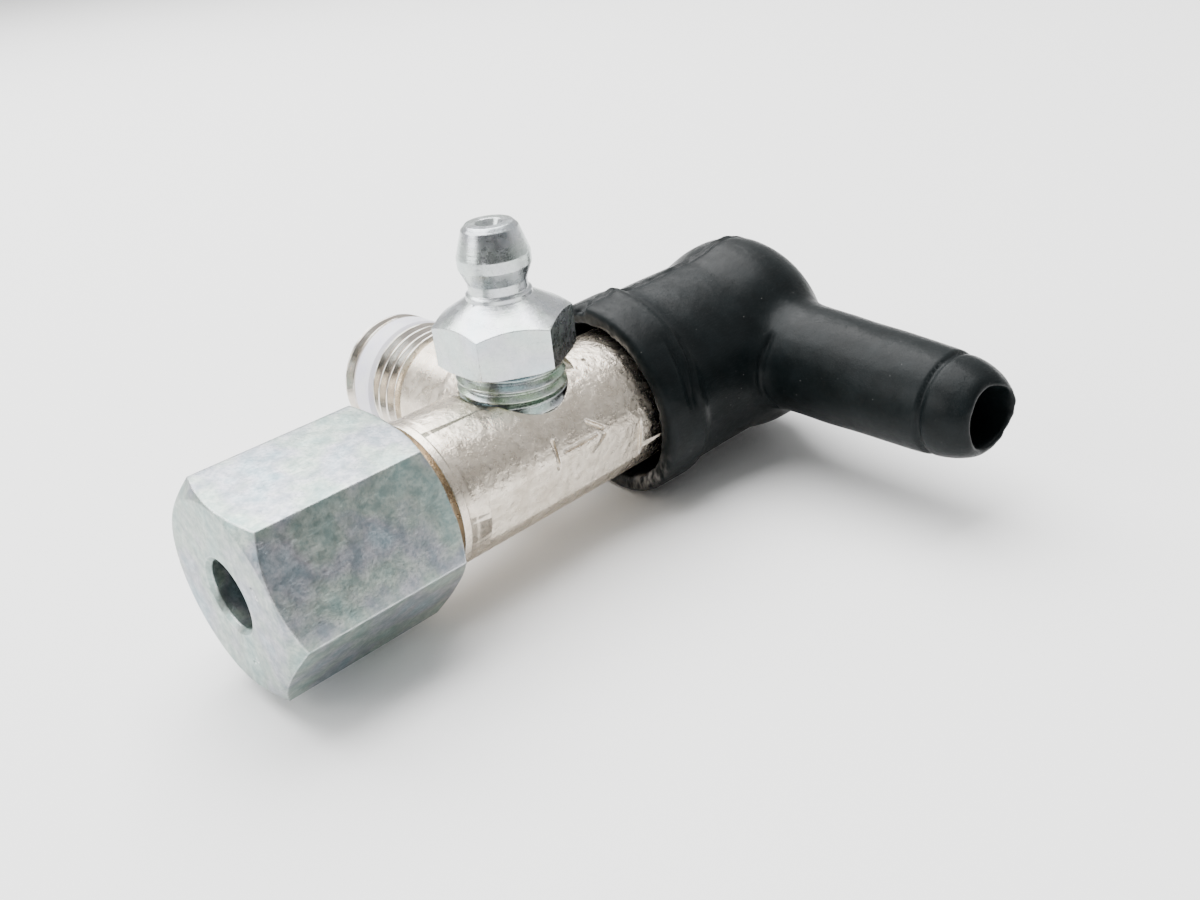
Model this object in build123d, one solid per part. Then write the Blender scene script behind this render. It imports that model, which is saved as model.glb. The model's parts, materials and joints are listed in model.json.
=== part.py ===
from build123d import *
import math
import os

# Pressure-relief outlet valve for a grease line, in millimetres.
#
# The barrel lies along X: its union outlet for a 6 mm tube is at -X and its relief outlet, under a rubber
# discharge cap, is at +X.  The threaded inlet spigot points along +Y and the grease nipple along +Z.
# Everything is built on the barrel's own centre, where the nipple's axis crosses the barrel's axis, and is
# moved at the end so that the origin is on the spigot's axis, where its thread begins.

# ---- barrel ---------------------------------------------------------------------------------------------
BARREL_R = 7.0
OUTLET_FACE = 24.5  # from the nipple's axis to the union outlet's face
RELIEF_END = 25.6  # from the nipple's axis to the relief outlet's face
COLLAR_R = 7.2
COLLAR_AT = 12.3  # middle of the polished collar behind the union thread
COLLAR_WIDTH = 0.7
BORE_R = 2.0  # passage between inlet, outlet and relief seat
EDGE = 0.4  # small chamfers
HEX_MARGIN = 0.01  # a hexagon's turned outline stays this far outside its corners
FLAT_DEPTH = 0.32  # trimmed flash line on the barrel's side
FLAT_ANGLE = 190.0  # about X, from +Y towards +Z
FLAT_START = -9.6
FLAT_END = 9.0
FLAT_CUT = 2.0  # thickness of what the flat's cut takes away
STAKE_ANGLE = 109.0
STAKE_X = (-3.9, 6.9)
STAKE_R = 0.5
STAKE_POINT_R = 0.05

# ---- union outlet: M14 x 1.5, 24 degree cone, 6 mm tube ---------------------------------------------------
UNION_THREAD_R = 7.0
UNION_PITCH = 1.5
UNION_THREAD_LENGTH = 11.0
UNION_RELIEF_R = 6.1
TUBE_R = 3.0
TUBE_CLEARANCE = 0.05
TUBE_STOP_DEPTH = 7.0
CONE_MOUTH_R = 4.05
CONE_HALF_ANGLE = 12.0

# ---- union nut ------------------------------------------------------------------------------------------
NUT_ACROSS_FLATS = 17.0
NUT_LENGTH = 16.5
NUT_OVERHANG = 6.0  # front of the nut, ahead of the outlet face
NUT_TURN = 68.33  # a corner's angle about X, from +Y towards +Z
NUT_FACE_R = 8.3
NUT_FRONT_CHAMFER = 0.97
NUT_BACK_CHAMFER = 0.71
NUT_FRONT_WALL = 3.0
NUT_SHOULDER_R = 5.4
THREAD_PLAY = 0.06  # a thread's smooth partner, outside its crests

# ---- cutting ring ---------------------------------------------------------------------------------------
RING_REAR_R = 4.9
RING_FRONT_LENGTH = 4.0
RING_TIP_WALL = 0.35
RING_PLAY = 0.06

# ---- inlet spigot: pipe thread 1/4 ------------------------------------------------------------------------
SPIGOT_X = 3.4  # from the nipple's axis
SPIGOT_SHOULDER = 15.6
SPIGOT_NECK_R = 6.35
SPIGOT_THREAD_R = 6.58
SPIGOT_PITCH = 1.337
SPIGOT_END = 25.4
INLET_BORE_R = 2.75
SEAL_GROOVE_START = 20.2
SEAL_GROOVE_END = 23.4
SEAL_GROOVE_R = 5.3  # the ring that fills the groove is flush with the thread's crests

# ---- grease nipple: M10 x 1, across flats 11 ---------------------------------------------------------------
NIPPLE_FACE = 6.4  # height of the spot face
SPOT_FACE_R = 5.9
NIPPLE_THREAD_R = 5.0
NIPPLE_PITCH = 1.0
NIPPLE_THREAD_DEPTH = 3.4
NIPPLE_HEX_FOOT = 9.1
NIPPLE_HEX_TOP = 13.8
NIPPLE_ACROSS_FLATS = 11.0
NIPPLE_TURN = 149.15  # a corner's angle about Z, from +X towards +Y
NIPPLE_HEX_CHAMFER = 0.55
NIPPLE_SHOULDER_SHARE = 1.7  # of that chamfer, down from the hexagon's top
NIPPLE_FOOT_GAP = 0.2  # between the thread's end and the port's floor
NIPPLE_CONE_HEIGHT = 0.5  # turned cone and step above the hexagon
NIPPLE_CONE_R = 3.95
NIPPLE_STEP_R = 2.95
NIPPLE_STEP_FOOT = 1.1
NIPPLE_STEP_TOP = 1.5
NIPPLE_NECK_R = 2.65
NIPPLE_NECK_BLEND = 0.2
NIPPLE_HEAD_R = 3.25
NIPPLE_HEAD_Z = 18.2  # middle of the head's band
NIPPLE_HEAD_BAND = 1.0
NIPPLE_HEAD_FLARE = 1.4  # height of the cone under the band
NIPPLE_TOP_Z = 21.4
NIPPLE_TOP_R = 2.3
NIPPLE_TOP_CHAMFER = 0.4
NIPPLE_MOUTH_R = 1.2
NIPPLE_MOUTH_DEPTH = 0.7
NIPPLE_THROAT_R = 0.79
NIPPLE_SEAT_DEPTH = 1.1
NIPPLE_SEAT_HEIGHT = 0.6
NIPPLE_BALL_R = 1.0
NIPPLE_BALL_HOLD = 0.8  # the spring meets the ball this far below its middle
NIPPLE_CHAMBER_R = 1.35
NIPPLE_SPRING_LENGTH = 6.0
NIPPLE_WIRE_R = 0.12
NIPPLE_SPRING_PLAY = 0.2
NIPPLE_SPRING_TURNS = 8
NIPPLE_STOP_HEIGHT = 0.8
NIPPLE_STOP_BORE_R = 0.7

# ---- relief valve ----------------------------------------------------------------------------------------
SEAT_POCKET_AT = 6.4  # floor of the seat's pocket
SEAT_R = 3.6
WASHER_THICKNESS = 0.5
SEAT_LENGTH = 2.4
SEAT_ORIFICE_R = 1.0
SEAT_FUNNEL = 0.96  # length of the funnel that leads to the orifice
RELIEF_BALL_R = 1.5
CHAMBER_R = 4.5
SLIDE_CLEARANCE = 0.08
CARRIER_LIP = 0.52  # the flange's face, past the ball's middle
CARRIER_FLANGE = 1.2
CARRIER_STEM_R = 1.7
CARRIER_STEM = 1.6
CARRIER_HOLES_AT = 3.4  # three holes let the grease past
CARRIER_HOLE_R = 0.6
RELIEF_WIRE_R = 0.55
RELIEF_COIL_R = 2.75
RELIEF_SPRING_LENGTH = 5.2
SPRING_TURNS = 4
PLATE_THICKNESS = 0.9
PLATE_BOSS = 0.8
SCREW_LENGTH = 3.6
SCREW_PITCH = 1.0
LOCK_LENGTH = 2.6
HEX_SOCKET = 4.0  # across flats
PART_GAP = 0.04  # faces that meet on pieces that move apart

# ---- rubber discharge cap --------------------------------------------------------------------------------
CAP_GROOVE_BACK = 5.6  # from the relief outlet's face back to the middle of the retaining groove
CAP_YAW = -5.1  # the soft cap sits a little askew on the barrel
CAP_PITCH = 3.3
CAP_RIM_TO_PIVOT = 8.6
CAP_PLAY = 0.9  # sleeve bore outside the barrel
CAP_RIM_FLARE = 0.5  # rim's mouth outside the sleeve bore
CAP_RIM_WALL = 1.7
CAP_COLLAR_LENGTH = 5.0
CAP_COLLAR_STEP = 0.45
CAP_SLEEVE_WALL = 1.65
CAP_HEAD_SWELL = 0.75  # head outside the sleeve
CAP_HEAD_PAST = 5.2  # from the barrel's end to where the dome begins
CAP_DOME = 6.4
CAP_FLARE = 3.0
CAP_BLEND = 1.6
CAP_WALL = 1.8
CAP_BEAD = 0.9
CAP_BEAD_WIDTH = 1.4
GROOVE_WIDTH = 3.6
GROOVE_DEPTH = 0.8
CAP_CLEARANCE = 0.35  # bead outside its groove
SPOUT_PAST = 4.4  # from the barrel's end to the spout's axis
SPOUT_ROOT_R = 5.75
SPOUT_RING = 27.5
SPOUT_RING_R = 5.0
SPOUT_RING_GROOVE = 0.25
SPOUT_NOSE_R = 6.9
SPOUT_END = 32.3
SPOUT_THROAT_R = 3.5
SPOUT_BORE_AT = 21.0  # the throat narrows to the bore here
SPOUT_BORE_R = 2.9

ALONG_Y = Rot(0, 0, 90)
ALONG_Z = Rot(0, -90, 0)


def turned(points):
    """Solid of revolution about X through (x, radius) points; the first and last lie on the axis."""
    return revolve(make_face(Polyline(*points, close=True)), Axis.X)


def domed(points, radius, turn=90):
    """Like turned, but the outline bends round an arc of this radius, then runs straight in to the axis."""
    arc = JernArc(points[-1], (1, 0), radius, -turn)
    tip = arc @ 1
    outline = Polyline(*points) + arc + Polyline(tip, (tip.X, 0), points[0])
    return revolve(make_face(outline), Axis.X)


def rod(start, end, radius):
    """Cylinder along X from start to end."""
    return Pos((start + end) / 2, 0, 0) * Rot(0, 90, 0) * Cylinder(radius, end - start)


def tube(start, end, outer, inner):
    """Ring along X from start to end."""
    return rod(start, end, outer) - rod(start, end, inner)


def hexagon_bar(start, end, across_flats, turn):
    """Hexagonal bar along X, one corner at the angle turn from +Y towards +Z."""
    corner = across_flats / math.sqrt(3)
    angles = [math.radians(turn + 60 * k) for k in range(6)]
    outline = Polyline(*[(start, corner * math.cos(a), corner * math.sin(a)) for a in angles], close=True)
    return extrude(make_face(outline), end - start, dir=(1, 0, 0))


def thread_outline(start, end, crest, pitch):
    """Outline points of a thread of parallel turns: crest lands with 60 degree valleys between them."""
    land = pitch / 8
    depth = (pitch - 2 * land) / 2 / math.tan(math.radians(30))
    turns = int((end - start - land) / pitch)
    points = []
    for k in range(turns):
        at = start + land + k * pitch
        points += [(at, crest), (at + pitch / 2 - land, crest - depth)]
        points += [(at + pitch / 2, crest - depth), (at + pitch - land, crest)]
    return [(start, crest)] + points + [(end, crest)]


def coil(start, end, radius, wire, turns):
    """Compression spring along X, with its wire's ends inside start and end."""
    rise = end - start - 2 * wire
    path = Helix(rise / turns, rise, radius)
    section = Plane(path @ 0, z_dir=path % 0) * Circle(wire)
    return Pos(start + wire, 0, 0) * Rot(0, 90, 0) * sweep(section, path)


# ---- places that follow from the sizes above ------------------------------------------------------------
tube_bore = TUBE_R + TUBE_CLEARANCE
outlet_x = -OUTLET_FACE
thread_end_x = outlet_x + UNION_THREAD_LENGTH
cone_length = (CONE_MOUTH_R - tube_bore) / math.tan(math.radians(CONE_HALF_ANGLE))
tube_stop_x = outlet_x + TUBE_STOP_DEPTH
nut_x = outlet_x - NUT_OVERHANG
nut_bore = UNION_THREAD_R + THREAD_PLAY
chamber_floor_x = SEAT_POCKET_AT + WASHER_THICKNESS + SEAT_LENGTH
ball_x = chamber_floor_x + math.sqrt(RELIEF_BALL_R**2 - SEAT_ORIFICE_R**2) + PART_GAP
carrier_x = ball_x + CARRIER_LIP
spring_x = carrier_x + CARRIER_FLANGE
plate_x = spring_x + RELIEF_SPRING_LENGTH
screw_x = plate_x + PLATE_THICKNESS + PART_GAP
lock_x = screw_x + SCREW_LENGTH + PART_GAP
cap_pivot_x = RELIEF_END - CAP_GROOVE_BACK
groove_x = cap_pivot_x - GROOVE_WIDTH / 2
groove_end_x = cap_pivot_x + GROOVE_WIDTH / 2
groove_r = BARREL_R - GROOVE_DEPTH
cap_bore = BARREL_R + CAP_PLAY
cap_rim_r = cap_bore + CAP_RIM_FLARE + CAP_RIM_WALL
cap_sleeve_r = cap_bore + CAP_SLEEVE_WALL
cap_head_r = cap_sleeve_r + CAP_HEAD_SWELL
barrel_end = CAP_GROOVE_BACK + CAP_RIM_TO_PIVOT  # seen from the cap's rim
cap_head_at = barrel_end + CAP_HEAD_PAST
spout_at = barrel_end + SPOUT_PAST
nipple_seat_z = NIPPLE_TOP_Z - NIPPLE_SEAT_DEPTH
nipple_seat_fall = NIPPLE_CHAMBER_R - NIPPLE_THROAT_R
nipple_seat_slant = math.hypot(NIPPLE_SEAT_HEIGHT, nipple_seat_fall)
nipple_ball_drop = (NIPPLE_BALL_R + PART_GAP) * nipple_seat_slant - NIPPLE_CHAMBER_R * NIPPLE_SEAT_HEIGHT
nipple_ball_z = nipple_seat_z - NIPPLE_SEAT_HEIGHT - nipple_ball_drop / nipple_seat_fall
nipple_spring_z = nipple_ball_z - NIPPLE_BALL_HOLD
CAP_PLACE = Pos(cap_pivot_x, 0, 0) * Rot(0, 0, CAP_YAW) * Rot(0, -CAP_PITCH, 0) * Pos(-CAP_RIM_TO_PIVOT, 0, 0)
ORIGIN = Pos(-SPIGOT_X, -SPIGOT_SHOULDER - EDGE, 0)


def valve_body():
    collar = COLLAR_WIDTH / 2
    barrel = turned(
        [(outlet_x, 0), (outlet_x, UNION_THREAD_R - 2 * EDGE)]
        + thread_outline(outlet_x + 2 * EDGE, thread_end_x, UNION_THREAD_R, UNION_PITCH)
        + [
            (thread_end_x + EDGE / 2, UNION_RELIEF_R),
            (-COLLAR_AT - collar - EDGE / 2, UNION_RELIEF_R),
            (-COLLAR_AT - collar, COLLAR_R),
            (-COLLAR_AT + collar, COLLAR_R),
            (-COLLAR_AT + collar + EDGE / 2, BARREL_R),
            (groove_x - EDGE / 2, BARREL_R),
            (groove_x, groove_r),
            (groove_end_x, groove_r),
            (groove_end_x + EDGE / 2, BARREL_R),
            (RELIEF_END - EDGE, BARREL_R),
            (RELIEF_END, BARREL_R - EDGE),
            (RELIEF_END, 0),
        ]
    )
    spigot = turned(
        [(0, 0), (0, SPIGOT_NECK_R), (SPIGOT_SHOULDER - EDGE, SPIGOT_NECK_R)]
        + [(SPIGOT_SHOULDER, SPIGOT_NECK_R - EDGE), (SPIGOT_SHOULDER, SPIGOT_THREAD_R - 2 * EDGE)]
        + thread_outline(SPIGOT_SHOULDER + EDGE, SEAL_GROOVE_START, SPIGOT_THREAD_R, SPIGOT_PITCH)
        + [(SEAL_GROOVE_START, SEAL_GROOVE_R), (SEAL_GROOVE_END, SEAL_GROOVE_R)]
        + thread_outline(SEAL_GROOVE_END, SPIGOT_END - EDGE / 2, SPIGOT_THREAD_R, SPIGOT_PITCH)
        + [(SPIGOT_END, SPIGOT_THREAD_R - EDGE), (SPIGOT_END, 0)]
    )
    body = barrel + Pos(SPIGOT_X, 0, 0) * ALONG_Y * spigot
    # spot face, nipple port and the nipple's passage
    body -= ALONG_Z * rod(NIPPLE_FACE, BARREL_R + 1, SPOT_FACE_R)
    body -= ALONG_Z * rod(NIPPLE_THREAD_DEPTH, BARREL_R + 1, NIPPLE_THREAD_R)
    body -= ALONG_Z * rod(0, NIPPLE_THREAD_DEPTH, NIPPLE_CHAMBER_R)
    # cone, tube stop, main passage, seat pocket and spring chamber
    body -= turned(
        [
            (outlet_x, 0),
            (outlet_x, CONE_MOUTH_R),
            (outlet_x + cone_length, tube_bore),
            (tube_stop_x, tube_bore),
            (tube_stop_x, BORE_R),
            (SEAT_POCKET_AT, BORE_R),
            (SEAT_POCKET_AT, SEAT_R),
            (chamber_floor_x, SEAT_R),
            (chamber_floor_x, CHAMBER_R),
            (RELIEF_END, CHAMBER_R),
            (RELIEF_END, 0),
        ]
    )
    inlet = turned(
        [(0, 0), (0, INLET_BORE_R), (SPIGOT_END - EDGE, INLET_BORE_R)]
        + [(SPIGOT_END, INLET_BORE_R + EDGE), (SPIGOT_END, 0)]
    )
    body -= Pos(SPIGOT_X, 0, 0) * ALONG_Y * inlet
    flat = Box(FLAT_END - FLAT_START, FLAT_CUT, 2 * BARREL_R)
    flat = Pos((FLAT_START + FLAT_END) / 2, BARREL_R - FLAT_DEPTH + FLAT_CUT / 2, 0) * flat
    body -= Rot(FLAT_ANGLE, 0, 0) * flat
    for x in STAKE_X:
        dimple = Pos(x, BARREL_R, 0) * Rot(90, 0, 0) * Cone(STAKE_R, STAKE_POINT_R, STAKE_R)
        body -= Rot(STAKE_ANGLE, 0, 0) * dimple
    return body


def union_nut():
    back = nut_x + NUT_LENGTH
    corner = NUT_ACROSS_FLATS / math.sqrt(3)
    fall = math.tan(math.radians(30))
    envelope = turned(
        [
            (nut_x, 0),
            (nut_x, NUT_FACE_R),
            (nut_x + NUT_FRONT_CHAMFER, corner + HEX_MARGIN),
            (back - NUT_BACK_CHAMFER, corner + HEX_MARGIN),
            (back, corner - NUT_BACK_CHAMFER / fall),
            (back, 0),
        ]
    )
    nut = hexagon_bar(nut_x, back, NUT_ACROSS_FLATS, NUT_TURN) & envelope
    front = nut_x + NUT_FRONT_WALL
    shoulder = NUT_SHOULDER_R - tube_bore
    return nut - turned(
        [
            (nut_x, 0),
            (nut_x, tube_bore + EDGE),
            (nut_x + EDGE, tube_bore),
            (front, tube_bore),
            (front + shoulder, NUT_SHOULDER_R),
            (outlet_x - EDGE, NUT_SHOULDER_R),
            (outlet_x - EDGE, nut_bore),
            (back - EDGE, nut_bore),
            (back, nut_bore + EDGE),
            (back, 0),
        ]
    )


def cutting_ring():
    slope = math.tan(math.radians(CONE_HALF_ANGLE))
    back = nut_x + NUT_FRONT_WALL + RING_TIP_WALL + RING_PLAY * 2
    rise = RING_REAR_R - tube_bore - RING_TIP_WALL
    mouth = CONE_MOUTH_R - RING_PLAY
    front = outlet_x + RING_FRONT_LENGTH
    tip = mouth - RING_FRONT_LENGTH * slope
    return turned(
        [
            (back, tube_bore),
            (back, tube_bore + RING_TIP_WALL),
            (back + rise, RING_REAR_R),
            (outlet_x - EDGE, RING_REAR_R),
            (outlet_x - EDGE, mouth),
            (outlet_x, mouth),
            (front, tip),
            (front, tube_bore),
        ]
    )


def inlet_sealing_ring():
    ring = tube(SEAL_GROOVE_START, SEAL_GROOVE_END, SPIGOT_THREAD_R, SEAL_GROOVE_R)
    ring = chamfer(ring.edges().filter_by(GeomType.CIRCLE).sort_by(SortBy.RADIUS)[-2:], EDGE)
    return Pos(SPIGOT_X, 0, 0) * ALONG_Y * ring


def nipple_body():
    corner = NIPPLE_ACROSS_FLATS / math.sqrt(3)
    thread_start = NIPPLE_THREAD_DEPTH + NIPPLE_FOOT_GAP
    head_foot = NIPPLE_HEAD_Z - NIPPLE_HEAD_BAND / 2
    foot = turned(
        [(thread_start, 0), (thread_start, NIPPLE_THREAD_R - EDGE)]
        + thread_outline(thread_start + EDGE, NIPPLE_HEX_FOOT - EDGE, NIPPLE_THREAD_R, NIPPLE_PITCH)
        + [(NIPPLE_HEX_FOOT, NIPPLE_THREAD_R), (NIPPLE_HEX_FOOT, 0)]
    )
    envelope = turned(
        [
            (NIPPLE_HEX_FOOT, 0),
            (NIPPLE_HEX_FOOT, corner - NIPPLE_HEX_CHAMFER),
            (NIPPLE_HEX_FOOT + NIPPLE_HEX_CHAMFER / 2, corner + HEX_MARGIN),
            (NIPPLE_HEX_TOP - NIPPLE_SHOULDER_SHARE * NIPPLE_HEX_CHAMFER, corner + HEX_MARGIN),
            (NIPPLE_HEX_TOP + NIPPLE_CONE_HEIGHT, NIPPLE_CONE_R),
            (NIPPLE_HEX_TOP + NIPPLE_STEP_FOOT, NIPPLE_STEP_R),
            (NIPPLE_HEX_TOP + NIPPLE_STEP_FOOT, 0),
        ]
    )
    hexagon = hexagon_bar(NIPPLE_HEX_FOOT, NIPPLE_HEX_TOP + NIPPLE_STEP_TOP, NIPPLE_ACROSS_FLATS, 90)
    head = turned(
        [
            (NIPPLE_HEX_TOP, 0),
            (NIPPLE_HEX_TOP, NIPPLE_STEP_R),
            (NIPPLE_HEX_TOP + NIPPLE_STEP_TOP, NIPPLE_STEP_R),
            (NIPPLE_HEX_TOP + NIPPLE_STEP_TOP + NIPPLE_NECK_BLEND, NIPPLE_NECK_R),
            (head_foot - NIPPLE_HEAD_FLARE, NIPPLE_NECK_R),
            (head_foot, NIPPLE_HEAD_R),
            (head_foot + NIPPLE_HEAD_BAND, NIPPLE_HEAD_R),
            (NIPPLE_TOP_Z - NIPPLE_TOP_CHAMFER, NIPPLE_TOP_R + NIPPLE_TOP_CHAMFER / 2),
            (NIPPLE_TOP_Z, NIPPLE_TOP_R - NIPPLE_TOP_CHAMFER / 2),
            (NIPPLE_TOP_Z, 0),
        ]
    )
    bore = turned(
        [
            (NIPPLE_THREAD_DEPTH, 0),
            (NIPPLE_THREAD_DEPTH, NIPPLE_CHAMBER_R),
            (nipple_seat_z - NIPPLE_SEAT_HEIGHT, NIPPLE_CHAMBER_R),
            (nipple_seat_z, NIPPLE_THROAT_R),
            (NIPPLE_TOP_Z - NIPPLE_MOUTH_DEPTH, NIPPLE_THROAT_R),
            (NIPPLE_TOP_Z, NIPPLE_MOUTH_R),
            (NIPPLE_TOP_Z, 0),
        ]
    )
    nipple = foot + (hexagon & envelope) + head - bore
    return Rot(0, 0, NIPPLE_TURN) * ALONG_Z * nipple


def nipple_ball():
    return Pos(0, 0, nipple_ball_z) * Sphere(NIPPLE_BALL_R)


def nipple_spring():
    radius = NIPPLE_CHAMBER_R - NIPPLE_WIRE_R - NIPPLE_SPRING_PLAY
    foot = nipple_spring_z - NIPPLE_SPRING_LENGTH
    return ALONG_Z * coil(foot, nipple_spring_z, radius, NIPPLE_WIRE_R, NIPPLE_SPRING_TURNS)


def nipple_spring_stop():
    top = nipple_spring_z - NIPPLE_SPRING_LENGTH
    return ALONG_Z * tube(top - NIPPLE_STOP_HEIGHT, top, NIPPLE_CHAMBER_R, NIPPLE_STOP_BORE_R)


def seat_washer():
    return tube(SEAT_POCKET_AT, SEAT_POCKET_AT + WASHER_THICKNESS, SEAT_R, BORE_R)


def relief_seat():
    start = SEAT_POCKET_AT + WASHER_THICKNESS
    return rod(start, chamber_floor_x, SEAT_R) - turned(
        [
            (start, 0),
            (start, BORE_R),
            (start + SEAT_FUNNEL, SEAT_ORIFICE_R),
            (chamber_floor_x, SEAT_ORIFICE_R),
            (chamber_floor_x, 0),
        ]
    )


def relief_ball():
    return Pos(ball_x, 0, 0) * Sphere(RELIEF_BALL_R)


def ball_carrier():
    cone_tip_x = ball_x + RELIEF_BALL_R * math.sqrt(2) + PART_GAP
    cone_mouth_r = cone_tip_x - carrier_x
    flange_r = CHAMBER_R - SLIDE_CLEARANCE
    carrier = turned(
        [
            (cone_tip_x, 0),
            (carrier_x, cone_mouth_r),
            (carrier_x, flange_r),
            (spring_x, flange_r),
            (spring_x, CARRIER_STEM_R),
            (spring_x + CARRIER_STEM, CARRIER_STEM_R),
            (spring_x + CARRIER_STEM, 0),
        ]
    )
    for k in range(3):
        hole = Pos(0, 0, CARRIER_HOLES_AT) * rod(carrier_x - EDGE, spring_x + EDGE, CARRIER_HOLE_R)
        carrier -= Rot(120 * k, 0, 0) * hole
    return carrier


def relief_spring():
    return coil(spring_x, plate_x, RELIEF_COIL_R, RELIEF_WIRE_R, SPRING_TURNS)


def spring_plate():
    plate = rod(plate_x, plate_x + PLATE_THICKNESS, CHAMBER_R - SLIDE_CLEARANCE)
    boss = rod(plate_x - PLATE_BOSS, plate_x, CARRIER_STEM_R)
    return plate + boss - rod(plate_x - 2 * PLATE_BOSS, screw_x, SEAT_ORIFICE_R)


def socket_screw(start, length):
    """Hollow threaded plug with a hexagon socket through it."""
    crest = CHAMBER_R - THREAD_PLAY
    end = start + length
    screw = turned(
        [(start, 0), (start, crest - EDGE)]
        + thread_outline(start + EDGE, end - EDGE, crest, SCREW_PITCH)
        + [(end, crest - EDGE), (end, 0)]
    )
    return screw - hexagon_bar(start, end, HEX_SOCKET, 0)


def adjusting_screw():
    return socket_screw(screw_x, SCREW_LENGTH)


def lock_screw():
    return socket_screw(lock_x, LOCK_LENGTH)


def discharge_cap():
    bead_start = CAP_RIM_TO_PIVOT - CAP_BEAD_WIDTH / 2
    bead_end = CAP_RIM_TO_PIVOT + CAP_BEAD_WIDTH / 2
    bead_r = groove_r + CAP_CLEARANCE
    shell = domed(
        [
            (0, 0),
            (0, cap_rim_r - EDGE),
            (EDGE, cap_rim_r),
            (CAP_COLLAR_LENGTH - EDGE, cap_rim_r),
            (CAP_COLLAR_LENGTH + EDGE, cap_rim_r - CAP_COLLAR_STEP),
            (CAP_COLLAR_LENGTH + CAP_BLEND, cap_sleeve_r),
            (cap_head_at - CAP_FLARE - CAP_BLEND, cap_sleeve_r),
            (cap_head_at - CAP_BLEND, cap_head_r),
            (cap_head_at, cap_head_r),
        ],
        CAP_DOME,
    )
    nose = SPOUT_END - SPOUT_RING - SPOUT_RING_GROOVE
    spout = domed(
        [
            (0, 0),
            (0, SPOUT_ROOT_R),
            (cap_head_r - 2 * CAP_BLEND, SPOUT_ROOT_R),
            (SPOUT_RING - SPOUT_RING_GROOVE, SPOUT_RING_R),
            (SPOUT_RING, SPOUT_RING_R - SPOUT_RING_GROOVE),
            (SPOUT_RING + SPOUT_RING_GROOVE, SPOUT_RING_R - SPOUT_RING_GROOVE / 2),
        ],
        SPOUT_NOSE_R,
        math.degrees(math.asin(nose / SPOUT_NOSE_R)),
    )
    cavity = domed(
        [
            (0, 0),
            (0, cap_bore + CAP_RIM_FLARE),
            (CAP_COLLAR_LENGTH, cap_bore),
            (bead_start - CAP_BEAD, cap_bore),
            (bead_start, bead_r),
            (bead_end, bead_r),
            (bead_end + CAP_BEAD, cap_bore),
            (cap_head_at, cap_bore),
        ],
        CAP_DOME - CAP_WALL,
    )
    to_spout = Pos(spout_at, 0, 0) * Rot(0, 0, -90)
    passage = rod(0, SPOUT_BORE_AT, SPOUT_THROAT_R) + rod(SPOUT_BORE_AT, SPOUT_END, SPOUT_BORE_R)
    return CAP_PLACE * (shell + to_spout * spout - cavity - to_spout * passage)


PIECES = [
    valve_body,
    union_nut,
    cutting_ring,
    inlet_sealing_ring,
    nipple_body,
    nipple_ball,
    nipple_spring,
    nipple_spring_stop,
    seat_washer,
    relief_seat,
    relief_ball,
    ball_carrier,
    relief_spring,
    spring_plate,
    adjusting_screw,
    lock_screw,
    discharge_cap,
]

os.makedirs("parts", exist_ok=True)
for piece in PIECES:
    export_step(ORIGIN * piece(), f"parts/{piece.__name__}.step")
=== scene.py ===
"""Grease relief valve: finishes, fine shapes and studio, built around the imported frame.

The barrel lies along X, with its union nut at -X and its rubber discharge cap at +X.  The inlet spigot
points along +Y and the grease nipple along +Z.  Sizes are in millimetres in the classes and become metres
where a mesh is made.  "Valve millimetres" are counted from the point where the nipple's axis meets the
barrel's axis, and "row millimetres" from the frame's origin.
"""

from __future__ import annotations

import json
import logging
import math
from dataclasses import dataclass, field
from enum import Enum
from typing import ClassVar

import bmesh
import bpy
import numpy as np
from mathutils import Matrix, Vector, noise

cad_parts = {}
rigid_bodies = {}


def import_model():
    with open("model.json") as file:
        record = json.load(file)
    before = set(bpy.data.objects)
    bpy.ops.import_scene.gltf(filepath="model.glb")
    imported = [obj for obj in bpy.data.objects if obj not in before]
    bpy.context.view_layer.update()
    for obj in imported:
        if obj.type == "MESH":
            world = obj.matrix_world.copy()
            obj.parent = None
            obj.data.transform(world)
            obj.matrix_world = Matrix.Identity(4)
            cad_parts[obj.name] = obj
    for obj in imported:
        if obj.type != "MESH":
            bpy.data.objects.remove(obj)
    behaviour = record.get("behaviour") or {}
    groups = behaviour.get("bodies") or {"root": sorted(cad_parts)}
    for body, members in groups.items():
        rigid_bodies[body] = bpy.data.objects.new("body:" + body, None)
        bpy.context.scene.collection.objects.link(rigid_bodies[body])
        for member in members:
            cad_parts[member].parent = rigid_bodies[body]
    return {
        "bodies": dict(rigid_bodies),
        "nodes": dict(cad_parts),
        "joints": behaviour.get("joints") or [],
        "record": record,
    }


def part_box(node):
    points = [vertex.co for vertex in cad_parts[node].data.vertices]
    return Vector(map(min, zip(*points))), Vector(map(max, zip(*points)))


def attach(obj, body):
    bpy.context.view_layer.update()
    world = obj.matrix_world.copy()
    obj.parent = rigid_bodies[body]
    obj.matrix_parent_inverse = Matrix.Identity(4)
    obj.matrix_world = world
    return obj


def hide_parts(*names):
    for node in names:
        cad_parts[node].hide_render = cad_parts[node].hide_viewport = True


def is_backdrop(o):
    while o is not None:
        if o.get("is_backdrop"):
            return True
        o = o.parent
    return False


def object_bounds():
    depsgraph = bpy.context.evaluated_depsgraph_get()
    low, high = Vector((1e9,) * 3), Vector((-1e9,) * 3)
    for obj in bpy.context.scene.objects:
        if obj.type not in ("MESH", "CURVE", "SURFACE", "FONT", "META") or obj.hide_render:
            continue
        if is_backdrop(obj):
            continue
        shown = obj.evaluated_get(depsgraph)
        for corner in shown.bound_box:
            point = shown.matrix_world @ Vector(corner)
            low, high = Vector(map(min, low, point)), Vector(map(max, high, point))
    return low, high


MM = 0.001
VALVE_CENTRE = Vector((-3.4, -16.0, 0.0))  # where the nipple's axis meets the barrel's, in row millimetres
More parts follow.
